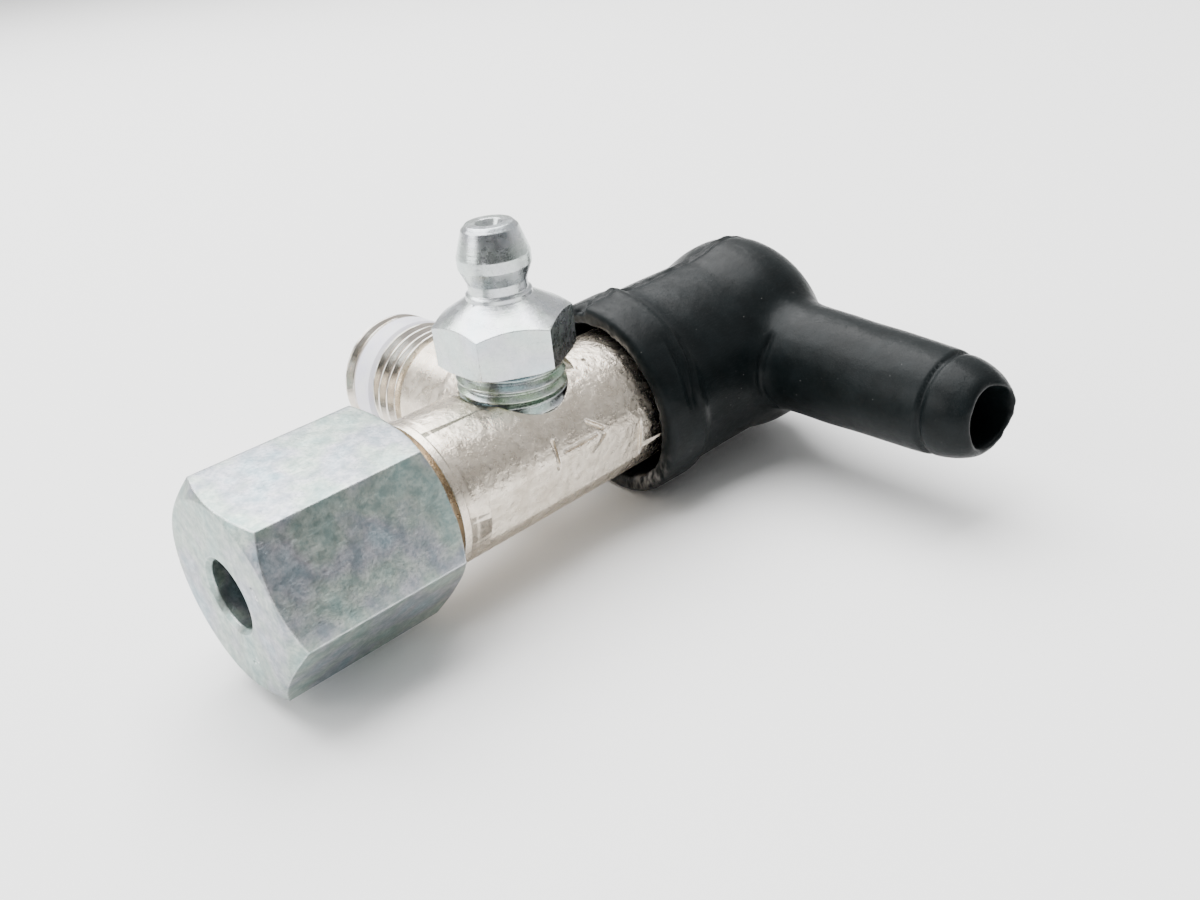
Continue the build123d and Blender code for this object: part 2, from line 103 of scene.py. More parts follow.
JOIN_WITHIN = 0.0005  # millimetres between corners that are one corner
CRISP_ANGLE = 12.0  # degrees between faces of a turned skin, above which the edge is sharp
THREAD_ANGLE = 40.0  # the same for a helical thread
THREAD_COVER = 0.02  # millimetres between a helical thread and the CAD radius that it stands beside
THREAD_DEPTH = 0.4  # millimetres that its hidden inside lies below the root
END_FACE_SLOPE = 0.98  # a face's direction along the axis, above which it is an end face and not a round one
LEAST_RADIUS = 0.3  # millimetres from the axis, within which no corner counts as round
SAME_WAY = 0.93  # least agreement between a flat face's normal and its round surface's

Colour = tuple[float, float, float]
log = logging.getLogger("valve")


class Turning(Enum):
    """The axis that a piece was turned about: its direction, and a point on it in valve millimetres."""

    BARREL = ((1, 0, 0), (0.0, 0.0, 0.0))
    SPIGOT = ((0, 1, 0), (3.4, 0.0, 0.0))
    NIPPLE = ((0, 0, 1), (0.0, 0.0, 0.0))

    @property
    def index(self) -> int:
        """Number of the coordinate that runs along the axis."""
        return self.value[0].index(1)

    @property
    def point(self) -> Vector:
        """A point on the axis, in valve millimetres."""
        return Vector(self.value[1])

    @property
    def place(self) -> Matrix:
        """Matrix from millimetres along X, round X, to row metres along this axis."""
        turn = Vector((1, 0, 0)).rotation_difference(Vector(self.value[0])).to_matrix().to_4x4()
        return Matrix.Scale(MM, 4) @ Matrix.Translation(VALVE_CENTRE + self.point) @ turn


# ---- node trees ----------------------------------------------------------------------------------


@dataclass
class NodeSheet:
    """A node tree that is filled call by call, for a material, a world or Geometry Nodes."""

    tree: bpy.types.NodeTree
    maths: str = "ShaderNodeMath"

    def add(
        self, kind: str, values: dict[str | int, object] | None = None, **settings: object
    ) -> bpy.types.Node:
        """Adds a node.

        Args:
            kind: the node's type.
            values: outputs or plain values for its inputs, by the input's name or number.
            settings: properties of the node, by name.

        Returns:
            The new node.
        """
        node = self.tree.nodes.new(kind)
        for name, value in settings.items():
            setattr(node, name, value)
        for socket, value in (values or {}).items():
            self.put(node, socket, value)
        return node

    def put(self, node: bpy.types.Node, socket: str | int, value: object) -> None:
        """Links an output to a node's input, or sets the input to a plain value.

        Args:
            node: the node whose input it is.
            socket: the input's name or number.
            value: an output socket, a number, a vector or a colour.
        """
        if isinstance(value, bpy.types.NodeSocket):
            self.tree.links.new(value, node.inputs[socket])
        else:
            node.inputs[socket].default_value = value

    def math(self, operation: str, a: object, b: object = 0.0, clamp: bool = False) -> bpy.types.NodeSocket:
        """Adds one step of arithmetic.

        Args:
            operation: the Math node's operation.
            a: first number or output.
            b: second number or output.
            clamp: keeps the result from 0 to 1.

        Returns:
            The result's socket.
        """
        return self.add(self.maths, {0: a, 1: b}, operation=operation, use_clamp=clamp).outputs[0]

    def step(self, value: object, low: float, high: float) -> bpy.types.NodeSocket:
        """Rises from 0 at low to 1 at high, and falls instead where low is above high.

        Args:
            value: number or output that is measured.
            low: where the result is 0.
            high: where the result is 1.

        Returns:
            The result's socket, kept from 0 to 1.
        """
        return self.math("MULTIPLY", self.math("SUBTRACT", value, low), 1.0 / (high - low), clamp=True)

    def noise(self, vector: bpy.types.NodeSocket, scale: float, detail: float = 3.0) -> bpy.types.NodeSocket:
        """Adds a noise pattern.

        Args:
            vector: where it is read.
            scale: features per unit of the vector.
            detail: octaves.

        Returns:
            The pattern's strength.
        """
        node = self.add("ShaderNodeTexNoise", {"Vector": vector, "Scale": scale, "Detail": detail})
        return node.outputs["Fac"]

    def stretched(self, vector: bpy.types.NodeSocket, scale: Colour, turn: Colour) -> bpy.types.NodeSocket:
        """Turns and stretches a vector.

        Args:
            vector: the vector that is changed.
            scale: factor along each axis.
            turn: angles about each axis, in degrees.

        Returns:
            The changed vector's socket.
        """
        angles = tuple(math.radians(a) for a in turn)
        node = self.add("ShaderNodeMapping", {"Vector": vector, "Scale": scale, "Rotation": angles})
        return node.outputs[0]

    def mix(self, share: object, a: object, b: object, blend: str = "MIX") -> bpy.types.NodeSocket:
        """Mixes two colours.

        Args:
            share: how much of the second colour.
            a: first colour or output.
            b: second colour or output.
            blend: the way they are mixed.

        Returns:
            The mixed colour.
        """
        a, b = (c if isinstance(c, bpy.types.NodeSocket) else (*c, 1.0) for c in (a, b))
        node = self.add("ShaderNodeMix", {0: share, 6: a, 7: b}, data_type="RGBA", blend_type=blend)
        return node.outputs[2]

    def ramp(
        self, value: bpy.types.NodeSocket, stops: tuple[tuple[float, Colour], ...]
    ) -> bpy.types.NodeSocket:
        """Turns a number into a colour.

        Args:
            value: the number, from 0 to 1.
            stops: pairs of place and colour.

        Returns:
            The colour.
        """
        node = self.add("ShaderNodeValToRGB", {0: value})
        elements = node.color_ramp.elements
        while len(elements) < len(stops):
            elements.new(1.0)
        for element, (at, colour) in zip(elements, stops):
            element.position = at
            element.color = (*colour, 1.0)
        return node.outputs[0]

    def bump(self, height: object, depth: float, normal: object = None) -> bpy.types.NodeSocket:
        """Adds relief.

        Args:
            height: the relief's height, from 0 to 1.
            depth: millimetres that a height of 1 stands for.
            normal: the normal that it starts from, if any.

        Returns:
            The changed normal.
        """
        node = self.add("ShaderNodeBump", {"Height": height, "Distance": depth * MM})
        if normal is not None:
            self.put(node, "Normal", normal)
        return node.outputs[0]

    def parts(self, vector: bpy.types.NodeSocket) -> bpy.types.Node:
        """Splits a vector.

        Args:
            vector: the vector.

        Returns:
            The node whose outputs are its three coordinates.
        """
        return self.add("ShaderNodeSeparateXYZ", {0: vector})

    def dot(self, a: bpy.types.NodeSocket, b: object) -> bpy.types.NodeSocket:
        """Multiplies two vectors into one number.

        Args:
            a: first vector.
            b: second vector or output.

        Returns:
            Their dot product.
        """
        return self.add("ShaderNodeVectorMath", {0: a, 1: b}, operation="DOT_PRODUCT").outputs["Value"]

    def near_half(self, value: bpy.types.NodeSocket, width: float) -> bpy.types.NodeSocket:
        """Finds the thin lines along which a pattern passes through one half.

        Args:
            value: the pattern.
            width: how far from one half the line ends.

        Returns:
            1 on a line and 0 beside it.
        """
        return self.step(self.math("ABSOLUTE", self.math("SUBTRACT", value, 0.5)), width, 0.0)


def finish_name(slot: str) -> str:
    """Name of a finish's material, which keeps it apart from the CAD's plain material of the same slot."""
    return f"{slot}_finish"


def new_material(name: str) -> tuple[bpy.types.Material, NodeSheet, bpy.types.Node]:
    """Makes an empty material with one surface shader.

    Args:
        name: the material's name.

    Returns:
        The material, its node sheet, and its surface shader.
    """
    material = bpy.data.materials.new(name)
    material.use_nodes = True
    material.node_tree.nodes.clear()
    sheet = NodeSheet(material.node_tree)
    shader = sheet.add("ShaderNodeBsdfPrincipled")
    sheet.add("ShaderNodeOutputMaterial", {0: shader.outputs[0]})
    return material, sheet, shader


def valve_millimetres(sheet: NodeSheet) -> bpy.types.NodeSocket:
    """Adds the place on the piece, in valve millimetres.

    Args:
        sheet: the material's node sheet.

    Returns:
        The place as a vector.
    """
    place = sheet.add("ShaderNodeTexCoord").outputs["Object"]
    values = {"Vector": place, "Scale": (1 / MM,) * 3, "Location": tuple(-VALVE_CENTRE)}
    return sheet.add("ShaderNodeMapping", values).outputs[0]


# ---- finishes ------------------------------------------------------------------------------------


@dataclass(frozen=True)
class MetalFinish:
    """A plated or bare metal: mottled colour, turned lines, scratches and bright worn edges."""

    name: str
    colour: Colour
    stain: Colour
    edge: Colour
    roughness: float
    turning: Turning = Turning.BARREL
    unevenness: float = 0.12  # of the roughness
    mottle: float = 0.5  # patches per millimetre
    stain_share: float = 0.6
    lines: float = 0.006  # depth of the turned lines
    grain: float = 0.01  # depth of the fine grain
    grain_scale: float = 3.0
    scratches: float = 0.5
    edge_width: float = 0.14
    sheen_colours: float = 0.0  # strength of the passivation's rainbow tint
    rough_until: tuple[float, float] | None = None  # from this x to this y the surface is as forged
    rough_depth: float = 0.03
    hues: tuple[tuple[float, Colour], ...] = (
        (0.3, (0.66, 0.95, 0.76)),
        (0.45, (1.0, 0.95, 0.68)),
        (0.56, (1.0, 0.70, 0.82)),
        (0.7, (0.68, 0.82, 1.0)),
    )  # the rainbow tint's colours, and where each stands in the pattern
    worn_gloss: float = 0.12  # how much smoother a worn edge is
    scratch_depth: float = 0.004

    def material(self) -> bpy.types.Material:
        """Builds the finish as a material."""
        material, sheet, shader = new_material(finish_name(self.name))
        place = valve_millimetres(sheet)
        split = sheet.parts(place)
        turned = self.turned_lines(sheet, split)
        patches = sheet.step(sheet.noise(place, self.mottle, 5.0), 0.38, 0.66)
        specks = sheet.step(sheet.noise(place, self.mottle * 3.4, 4.0), 0.44, 0.62)
        scratch = self.scratch_lines(sheet, place)
        colour = sheet.mix(sheet.math("MULTIPLY", patches, self.stain_share), self.colour, self.stain)
        colour = sheet.mix(sheet.math("MULTIPLY", specks, 0.6 * self.stain_share), colour, self.stain)
        if self.sheen_colours:
            hues = sheet.ramp(sheet.noise(place, 0.22, 2.0), self.hues)
            colour = sheet.mix(self.sheen_colours, colour, hues, "MULTIPLY")
        soft_normal, worn = self.worn_edges(sheet, place)
        colour = sheet.mix(worn, colour, self.edge)
        sheet.put(shader, "Base Color", colour)
        shader.inputs["Metallic"].default_value = 1.0
        uneven = sheet.math("SUBTRACT", sheet.noise(place, 1.3, 4.0), 0.5)
        roughness = sheet.math("ADD", sheet.math("MULTIPLY", uneven, 2.0 * self.unevenness), self.roughness)
        roughness = sheet.math("SUBTRACT", roughness, sheet.math("MULTIPLY", worn, self.worn_gloss))
        scratched = sheet.math("MULTIPLY", scratch, 0.10 * self.scratches)
        roughness = sheet.math("ADD", roughness, scratched, clamp=True)
        sheet.put(shader, "Roughness", roughness)
        grain = sheet.noise(place, self.grain_scale, 4.0)
        normal = sheet.bump(grain, self.grain, soft_normal)
        if self.rough_until:
            normal = self.forged_skin(sheet, split, place, normal)
        normal = sheet.bump(turned, self.lines, normal)
        normal = sheet.bump(scratch, -self.scratch_depth * self.scratches, normal)
        sheet.put(shader, "Normal", normal)
        return material

    def turned_lines(self, sheet: NodeSheet, split: bpy.types.Node) -> bpy.types.NodeSocket:
        """Adds lathe lines round the turning axis, on the sides as well as on the end faces.

        Args:
            sheet: the material's node sheet.
            split: the node that gives the place's three coordinates.

        Returns:
            The lines' height.
        """
        along = self.turning.index
        across = [i for i in range(3) if i != along]
        squares = []
        for i in across:
            offset = sheet.math("SUBTRACT", split.outputs[i], self.turning.point[i])
            squares.append(sheet.math("MULTIPLY", offset, offset))
        radius = sheet.math("SQRT", sheet.math("ADD", *squares))
        combined = sheet.add("ShaderNodeCombineXYZ", {0: split.outputs[along], 1: radius})
        return sheet.noise(combined.outputs[0], 7.0, 3.0)

    def scratch_lines(self, sheet: NodeSheet, place: bpy.types.NodeSocket) -> bpy.types.NodeSocket:
        """Adds sparse handling scratches in two directions.

        Args:
            sheet: the material's node sheet.
            place: the place on the piece.

        Returns:
            1 in a scratch and 0 beside it.
        """
        found = []
        for scale, turn in (((0.25, 2.6, 2.2), (20, 35, 50)), ((2.4, 0.3, 2.0), (-30, 15, -25))):
            value = sheet.noise(sheet.stretched(place, scale, turn), 1.4, 2.0)
            found.append(sheet.near_half(value, 0.012))
        gate = sheet.step(sheet.noise(place, 0.9, 1.0), 0.48, 0.60)
        return sheet.math("MULTIPLY", sheet.math("MAXIMUM", *found), gate)

    def worn_edges(
        self, sheet: NodeSheet, place: bpy.types.NodeSocket
    ) -> tuple[bpy.types.NodeSocket, bpy.types.NodeSocket]:
        """Adds softly rounded edges where the plating is rubbed bright.

        Args:
            sheet: the material's node sheet.
            place: the place on the piece.

        Returns:
            The rounded normal, and a mask of the worn edges.
        """
        rounded = sheet.add("ShaderNodeBevel", {"Radius": self.edge_width * MM}, samples=6)
        flat = sheet.add("ShaderNodeNewGeometry").outputs["Normal"]
        mask = sheet.step(sheet.dot(rounded.outputs[0], flat), 0.995, 0.93)
        patchy = sheet.step(sheet.noise(place, 1.1, 3.0), 0.30, 0.55)
        return rounded.outputs[0], sheet.math("MULTIPLY", mask, patchy)

    def forged_skin(
        self,
        sheet: NodeSheet,
        split: bpy.types.Node,
        place: bpy.types.NodeSocket,
        normal: bpy.types.NodeSocket,
    ) -> bpy.types.NodeSocket:
        """Adds the lumpy skin of the forging, away from the turned ends.

        Args:
            sheet: the material's node sheet.
            split: the node that gives the place's three coordinates.
            place: the place on the piece.
            normal: the normal that it starts from.

        Returns:
            The changed normal.
        """
        start, end = self.rough_until
        past_start = sheet.step(split.outputs[0], start, start + 0.3)
        skin = sheet.math("MULTIPLY", past_start, sheet.step(split.outputs[1], end, end - 0.6))
        lumps = sheet.math("MULTIPLY", sheet.noise(place, 1.1, 6.0), skin)
        pits = sheet.math("MULTIPLY", sheet.step(sheet.noise(place, 4.0, 2.0), 0.34, 0.44), skin)
        return sheet.bump(pits, self.rough_depth * 0.25, sheet.bump(lumps, self.rough_depth * 4.0, normal))


@dataclass(frozen=True)
class RubberFinish:
    """Soft black moulded rubber with a grey bloom, dust, and a smear of grease whose lighter colour is partly
    grease and partly a painted highlight.
    """

    name: str = "black_rubber"
    colour: Colour = (0.0030, 0.0046, 0.0050)
    bloom: Colour = (0.0060, 0.0086, 0.0094)
    dust: Colour = (0.30, 0.30, 0.29)
    # lighter colour of the grease smear: partly the grease's own colour, partly a painted highlight
    grease_and_highlight: Colour = (0.20, 0.19, 0.18)
    roughness: float = 0.34
    specular: float = 0.11
    # the attribute marks the grease smear, where the colour is lightened as grease and partly as a painted
    # highlight
    smear: str = "grease_smear_and_highlight"  # attribute that the cap's mesh carries

    def material(self) -> bpy.types.Material:
        """Builds the finish as a material."""
        material, sheet, shader = new_material(finish_name(self.name))
        place = valve_millimetres(sheet)
        bloom = sheet.step(sheet.noise(place, 0.35, 5.0), 0.36, 0.70)
        colour = sheet.mix(bloom, self.colour, self.bloom)
        spread = {"Vector": place, "Scale": 1.7, "Randomness": 1.0}
        cells = sheet.add("ShaderNodeTexVoronoi", spread, feature="F1")
        near = sheet.step(cells.outputs["Distance"], 0.085, 0.045)
        chosen = sheet.step(cells.outputs["Color"], 0.62, 0.66)
        gate = sheet.step(sheet.noise(place, 0.25, 2.0), 0.44, 0.60)
        specks = sheet.math("MULTIPLY", sheet.math("MULTIPLY", near, chosen), gate)
        colour = sheet.mix(sheet.math("MULTIPLY", specks, 0.8), colour, self.dust)
        # the smear is glossier, and painted lighter: partly grease, partly a painted highlight
        smear = sheet.add("ShaderNodeAttribute", attribute_name=self.smear).outputs["Fac"]
        streaks = sheet.noise(sheet.stretched(place, (1.0, 2.2, 0.8), (0, 0, 20)), 1.2, 4.0)
        smear = sheet.math("MULTIPLY", smear, sheet.step(streaks, 0.42, 0.62))
        colour = sheet.mix(smear, colour, self.grease_and_highlight)
        sheet.put(shader, "Base Color", colour)
        uneven = sheet.math("SUBTRACT", sheet.noise(place, 0.8, 4.0), 0.5)
        roughness = sheet.math("ADD", sheet.math("MULTIPLY", uneven, 0.22), self.roughness)
        roughness = sheet.math("SUBTRACT", roughness, sheet.math("MULTIPLY", smear, 0.22), clamp=True)
        sheet.put(shader, "Roughness", roughness)
        shader.inputs["Specular IOR Level"].default_value = self.specular
        normal = sheet.bump(sheet.noise(place, 9.0, 3.0), 0.012)
        normal = sheet.bump(sheet.noise(place, 0.9, 3.0), 0.05, normal)
        scuffs = sheet.noise(sheet.stretched(place, (0.3, 3.0, 3.0), (0, 10, 40)), 1.6, 2.0)
        normal = sheet.bump(sheet.near_half(scuffs, 0.01), -0.006, normal)
        sheet.put(shader, "Normal", normal)
        return material


@dataclass(frozen=True)
class SealFinish:
    """White translucent sealing plastic."""

    name: str = "white_sealing_ring"
    colour: Colour = (0.80, 0.80, 0.83)
    tint: Colour = (0.70, 0.69, 0.80)
    depth: float = 0.6  # how far light spreads inside

    def material(self) -> bpy.types.Material:
        """Builds the finish as a material."""
        material, sheet, shader = new_material(finish_name(self.name))
        place = valve_millimetres(sheet)
        patches = sheet.step(sheet.noise(place, 0.5, 3.0), 0.35, 0.7)
        sheet.put(shader, "Base Color", sheet.mix(patches, self.colour, self.tint))
        uneven = sheet.math("MULTIPLY", sheet.noise(place, 2.0, 3.0), 0.25)
        sheet.put(shader, "Roughness", sheet.math("ADD", uneven, 0.22))
        shader.inputs["Subsurface Weight"].default_value = 0.35
        shader.inputs["Subsurface Radius"].default_value = (1.0, 0.9, 1.0)
        shader.inputs["Subsurface Scale"].default_value = self.depth * MM
        sheet.put(shader, "Normal", sheet.bump(sheet.noise(place, 3.0, 3.0), 0.02))
        return material


class Finish(Enum):
    """Every finish on the valve."""

    NICKEL = MetalFinish(
        "nickel_plated_steel",
        colour=(0.80, 0.72, 0.61),
        stain=(0.52, 0.45, 0.36),
        edge=(0.90, 0.86, 0.80),
        roughness=0.28,
        unevenness=0.18,
        mottle=0.45,
        grain=0.02,
        grain_scale=6.0,
        scratches=1.0,
        rough_until=(-11.2, 9.5),
        rough_depth=0.034,
    )
    SPIGOT_NICKEL = MetalFinish(
        "nickel_plated_thread",
        colour=(0.74, 0.69, 0.62),
        stain=(0.62, 0.56, 0.49),
        edge=(0.92, 0.89, 0.84),
        roughness=0.2,
        turning=Turning.SPIGOT,
        scratches=0.4,
    )
    NUT_ZINC = MetalFinish(
        "zinc_plated_nut",
        colour=(0.43, 0.49, 0.50),
        stain=(0.20, 0.265, 0.28),
        edge=(0.84, 0.86, 0.86),
        roughness=0.38,
        unevenness=0.14,
        mottle=0.95,
        stain_share=0.8,
        lines=0.003,
        grain=0.02,
        grain_scale=4.0,
        scratches=1.0,
        edge_width=0.22,
        sheen_colours=0.4,
    )
    NIPPLE_ZINC = MetalFinish(
        "zinc_plated_nipple",
        colour=(0.56, 0.61, 0.62),
        stain=(0.36, 0.42, 0.43),
        edge=(0.86, 0.89, 0.90),
        roughness=0.27,
        turning=Turning.NIPPLE,
        mottle=0.8,
        stain_share=0.35,
        lines=0.014,
        scratches=0.6,
        sheen_colours=0.2,
    )
    NIPPLE_THREAD_ZINC = MetalFinish(
        "zinc_plated_nipple_thread",
        colour=(0.46, 0.56, 0.52),
        stain=(0.33, 0.44, 0.40),
        edge=(0.80, 0.86, 0.84),
        roughness=0.26,
        turning=Turning.NIPPLE,
        sheen_colours=0.6,
    )
    BALL = MetalFinish("polished_ball", (0.72, 0.73, 0.75), (0.62, 0.62, 0.64), (0.8, 0.8, 0.8), 0.12)
    SPRING = MetalFinish("spring_steel", (0.40, 0.41, 0.43), (0.27, 0.26, 0.26), (0.6, 0.6, 0.6), 0.3)
    COPPER = MetalFinish("copper_washer", (0.80, 0.42, 0.26), (0.55, 0.26, 0.15), (0.92, 0.58, 0.40), 0.3)
    SEAT = MetalFinish("hardened_seat", (0.50, 0.50, 0.50), (0.36, 0.35, 0.34), (0.7, 0.7, 0.7), 0.22)
    SCREW_ZINC = MetalFinish("zinc_plated_screw", (0.60, 0.63, 0.66), (0.44, 0.48, 0.51), (0.8, 0.8, 0.8), 0.3)
    PHOSPHATE = MetalFinish("phosphated_steel", (0.13, 0.13, 0.135), (0.07, 0.07, 0.07), (0.4, 0.4, 0.4), 0.5)
    RUBBER = RubberFinish()
    SEAL = SealFinish()

    def dress(self, *objects: bpy.types.Object) -> None:
        """Gives objects this finish as their only material.

        Args:
            objects: mesh objects of the valve.
        """
        material = bpy.data.materials.get(finish_name(self.value.name)) or self.value.material()
        for one in objects:
            one.data.materials.clear()
            one.data.materials.append(material)


# ---- mesh helpers --------------------------------------------------------------------------------


def merged_copy(node: bpy.types.Object, name: str) -> bpy.types.Object:
    """Copies a CAD node's mesh into a new object and joins its loose triangles.

    Args:
        node: the CAD node's object.
        name: the copy's name.

    Returns:
        The new object, linked to the scene.
    """
    mesh = node.data.copy()
    mesh.name = name
    edit = bmesh.new()
    edit.from_mesh(mesh)
    bmesh.ops.remove_doubles(edit, verts=edit.verts, dist=JOIN_WITHIN * MM)
    edit.to_mesh(mesh)
    edit.free()
    made = bpy.data.objects.new(name, mesh)
    bpy.context.scene.collection.objects.link(made)
    return made


def vertex_array(mesh: bpy.types.Mesh, what: str = "co") -> np.ndarray:
    """Reads the vertices' places or normals.

    Args:
        mesh: the mesh.
        what: "co" or "normal".

    Returns:
        One row for each vertex.
    """
    values = np.zeros(len(mesh.vertices) * 3)
    mesh.vertices.foreach_get(what, values)
    return values.reshape(-1, 3)


def set_vertices(mesh: bpy.types.Mesh, places: np.ndarray) -> None:
    """Writes the vertices' places.

    Args:
        mesh: the mesh.
        places: one row for each vertex.
    """
    mesh.vertices.foreach_set("co", places.astype(np.float32).ravel())
    mesh.update()


def apply_modifiers(thing: bpy.types.Object) -> None:
    """Turns an object's modifiers into its plain mesh.

    Args:
        thing: the mesh object.
    """
    graph = bpy.context.evaluated_depsgraph_get()
    mesh = bpy.data.meshes.new_from_object(thing.evaluated_get(graph))
    thing.modifiers.clear()
    old = thing.data
    thing.data = mesh
    bpy.data.meshes.remove(old)
    mesh.name = thing.name


def cut_away(thing: bpy.types.Object, tool: bmesh.types.BMesh) -> None:
    """Cuts a tool's shape out of a closed mesh.

    Args:
        thing: the mesh object, in row metres.
        tool: the tool in row millimetres, which is used up.
    """
    bmesh.ops.recalc_face_normals(tool, faces=tool.faces)
    mesh = bpy.data.meshes.new("tool")
    tool.to_mesh(mesh)
    tool.free()
    cutter = bpy.data.objects.new("tool", mesh)
    bpy.context.scene.collection.objects.link(cutter)
    thing.data.transform(Matrix.Scale(1 / MM, 4))
    faces = len(thing.data.polygons)
    cut = thing.modifiers.new("cut", "BOOLEAN")
    cut.operation = "DIFFERENCE"
    cut.solver = "EXACT"
    cut.object = cutter
    apply_modifiers(thing)
    thing.data.transform(Matrix.Scale(MM, 4))
    bpy.data.objects.remove(cutter)
    if len(thing.data.polygons) < faces // 2:
        raise RuntimeError(f"the cut in {thing.name} lost its faces")


def shade(thing: bpy.types.Object, angle: float | None = 30.0) -> None:
    """Shades a mesh smooth, with sharp edges where its faces meet at more than an angle.

    Args:
        thing: the mesh object.
        angle: degrees, or None to leave no edge sharp.
    """
    thing.data.shade_smooth()
    if angle is not None:
        thing.data.set_sharp_from_angle(angle=math.radians(angle))


def true_round(thing: bpy.types.Object, turnings: tuple[Turning, ...], slack: float = 0.02) -> None:
    """Gives turned faces the normals of the round surface that they stand for, so that they reflect truly.

    Args:
        thing: the mesh object, already shaded.
        turnings: the axes that its round surfaces were turned about.
        slack: millimetres that a corner may lie off the round surface.
    """
    mesh = thing.data
    places = vertex_array(mesh) / MM - np.array(VALVE_CENTRE)
    corner = np.zeros(len(mesh.loops), np.int64)
    mesh.loops.foreach_get("vertex_index", corner)
    sizes = np.zeros(len(mesh.polygons), np.int64)
    mesh.polygons.foreach_get("loop_total", sizes)
    face = np.repeat(np.arange(len(sizes)), sizes)
    flat = np.zeros(len(sizes) * 3)
    mesh.polygons.foreach_get("normal", flat)
    flat = flat.reshape(-1, 3)[face]
    normals = np.zeros(len(corner) * 3)
    mesh.corner_normals.foreach_get("vector", normals)
    normals = normals.reshape(-1, 3)
    first = np.concatenate(([0], np.cumsum(sizes)[:-1]))
    # faces in one plane are judged together, so that no sliver of a flat face passes for a round one
    offset = (places[corner] * flat).sum(1)[first]
    planes = np.column_stack((np.round(flat[first], 2), np.round(offset, 1)))
    group = np.unique(planes, axis=0, return_inverse=True)[1].ravel()[face]
    for turning in turnings:
        along = turning.index
        outward_part = places[corner] - np.array(turning.point)
        outward_part[:, along] = 0.0
        radius = np.linalg.norm(outward_part, axis=1)
        outward_part /= np.maximum(radius, 1e-6)[:, None]
        slope = np.add.reduceat(flat[:, along], first)[face] / sizes[face]
        side = np.sign(np.add.reduceat((flat * outward_part).sum(1), first))[face]
        steep = side * np.sqrt(np.maximum(1.0 - slope**2, 0.0))
        reach = steep * radius + slope * places[corner, along]
        highest, lowest = np.full(group.max() + 1, -1e9), np.full(group.max() + 1, 1e9)
        np.maximum.at(highest, group, reach)
        np.minimum.at(lowest, group, reach)
        level = (highest - lowest)[group] < slack
        chosen = level & (np.abs(slope) < END_FACE_SLOPE) & (radius > LEAST_RADIUS)
        turned = outward_part * steep[:, None]
        turned[:, along] = slope
        agrees = (turned * flat).sum(1) > SAME_WAY
        normals[chosen & agrees] = turned[chosen & agrees]
    mesh.normals_split_custom_set(normals.tolist())


def draw_in(
    skin: bpy.types.Object, turning: Turning, root: float, stretches: tuple[tuple[float, float], ...]
) -> None:
    """Draws parallel crests in to the thread's root, where a helical thread takes their place.

    Args:
        skin: the copy of the CAD piece.
        turning: the thread's axis.
        root: the root's radius in millimetres.
        stretches: where along the axis the crests are drawn in, each from and to.
    """
    centre = np.array(VALVE_CENTRE + turning.point)
    places = vertex_array(skin.data) / MM - centre
    across = [i for i in range(3) if i != turning.index]
    radius = np.hypot(*(places[:, i] for i in across))
    for start, end in stretches:
        along = places[:, turning.index]
        inside = (along > start) & (along < end) & (radius > root)
        for i in across:
            places[inside, i] *= root / radius[inside]
    set_vertices(skin.data, (places + centre) * MM)


def smooth_step(value: np.ndarray, low: float, high: float) -> np.ndarray:
    """Rises smoothly from 0 at low to 1 at high, and falls instead where low is above high.

    Args:
        value: the numbers that are measured.
        low: where the result is 0.
        high: where the result is 1.

    Returns:
        One number from 0 to 1 for each value.
    """
    t = np.clip((value - low) / (high - low), 0, 1)
    return t * t * (3 - 2 * t)


def wobble(places: np.ndarray, scale: float, seed: float, octaves: int = 3) -> np.ndarray:
    """Reads a smooth random pattern, from about -1 to 1.

    Args:
        places: one row for each point, in millimetres.
        scale: features per millimetre.
        seed: moves the pattern.
        octaves: layers of detail.

    Returns:
        One number for each point.
    """
    shift = Vector((seed, seed * 1.7, seed * 0.3))
    return np.array([noise.fractal(Vector(p) * scale + shift, 1.0, 2.0, octaves) for p in places])


# ---- Geometry Nodes ------------------------------------------------------------------------------


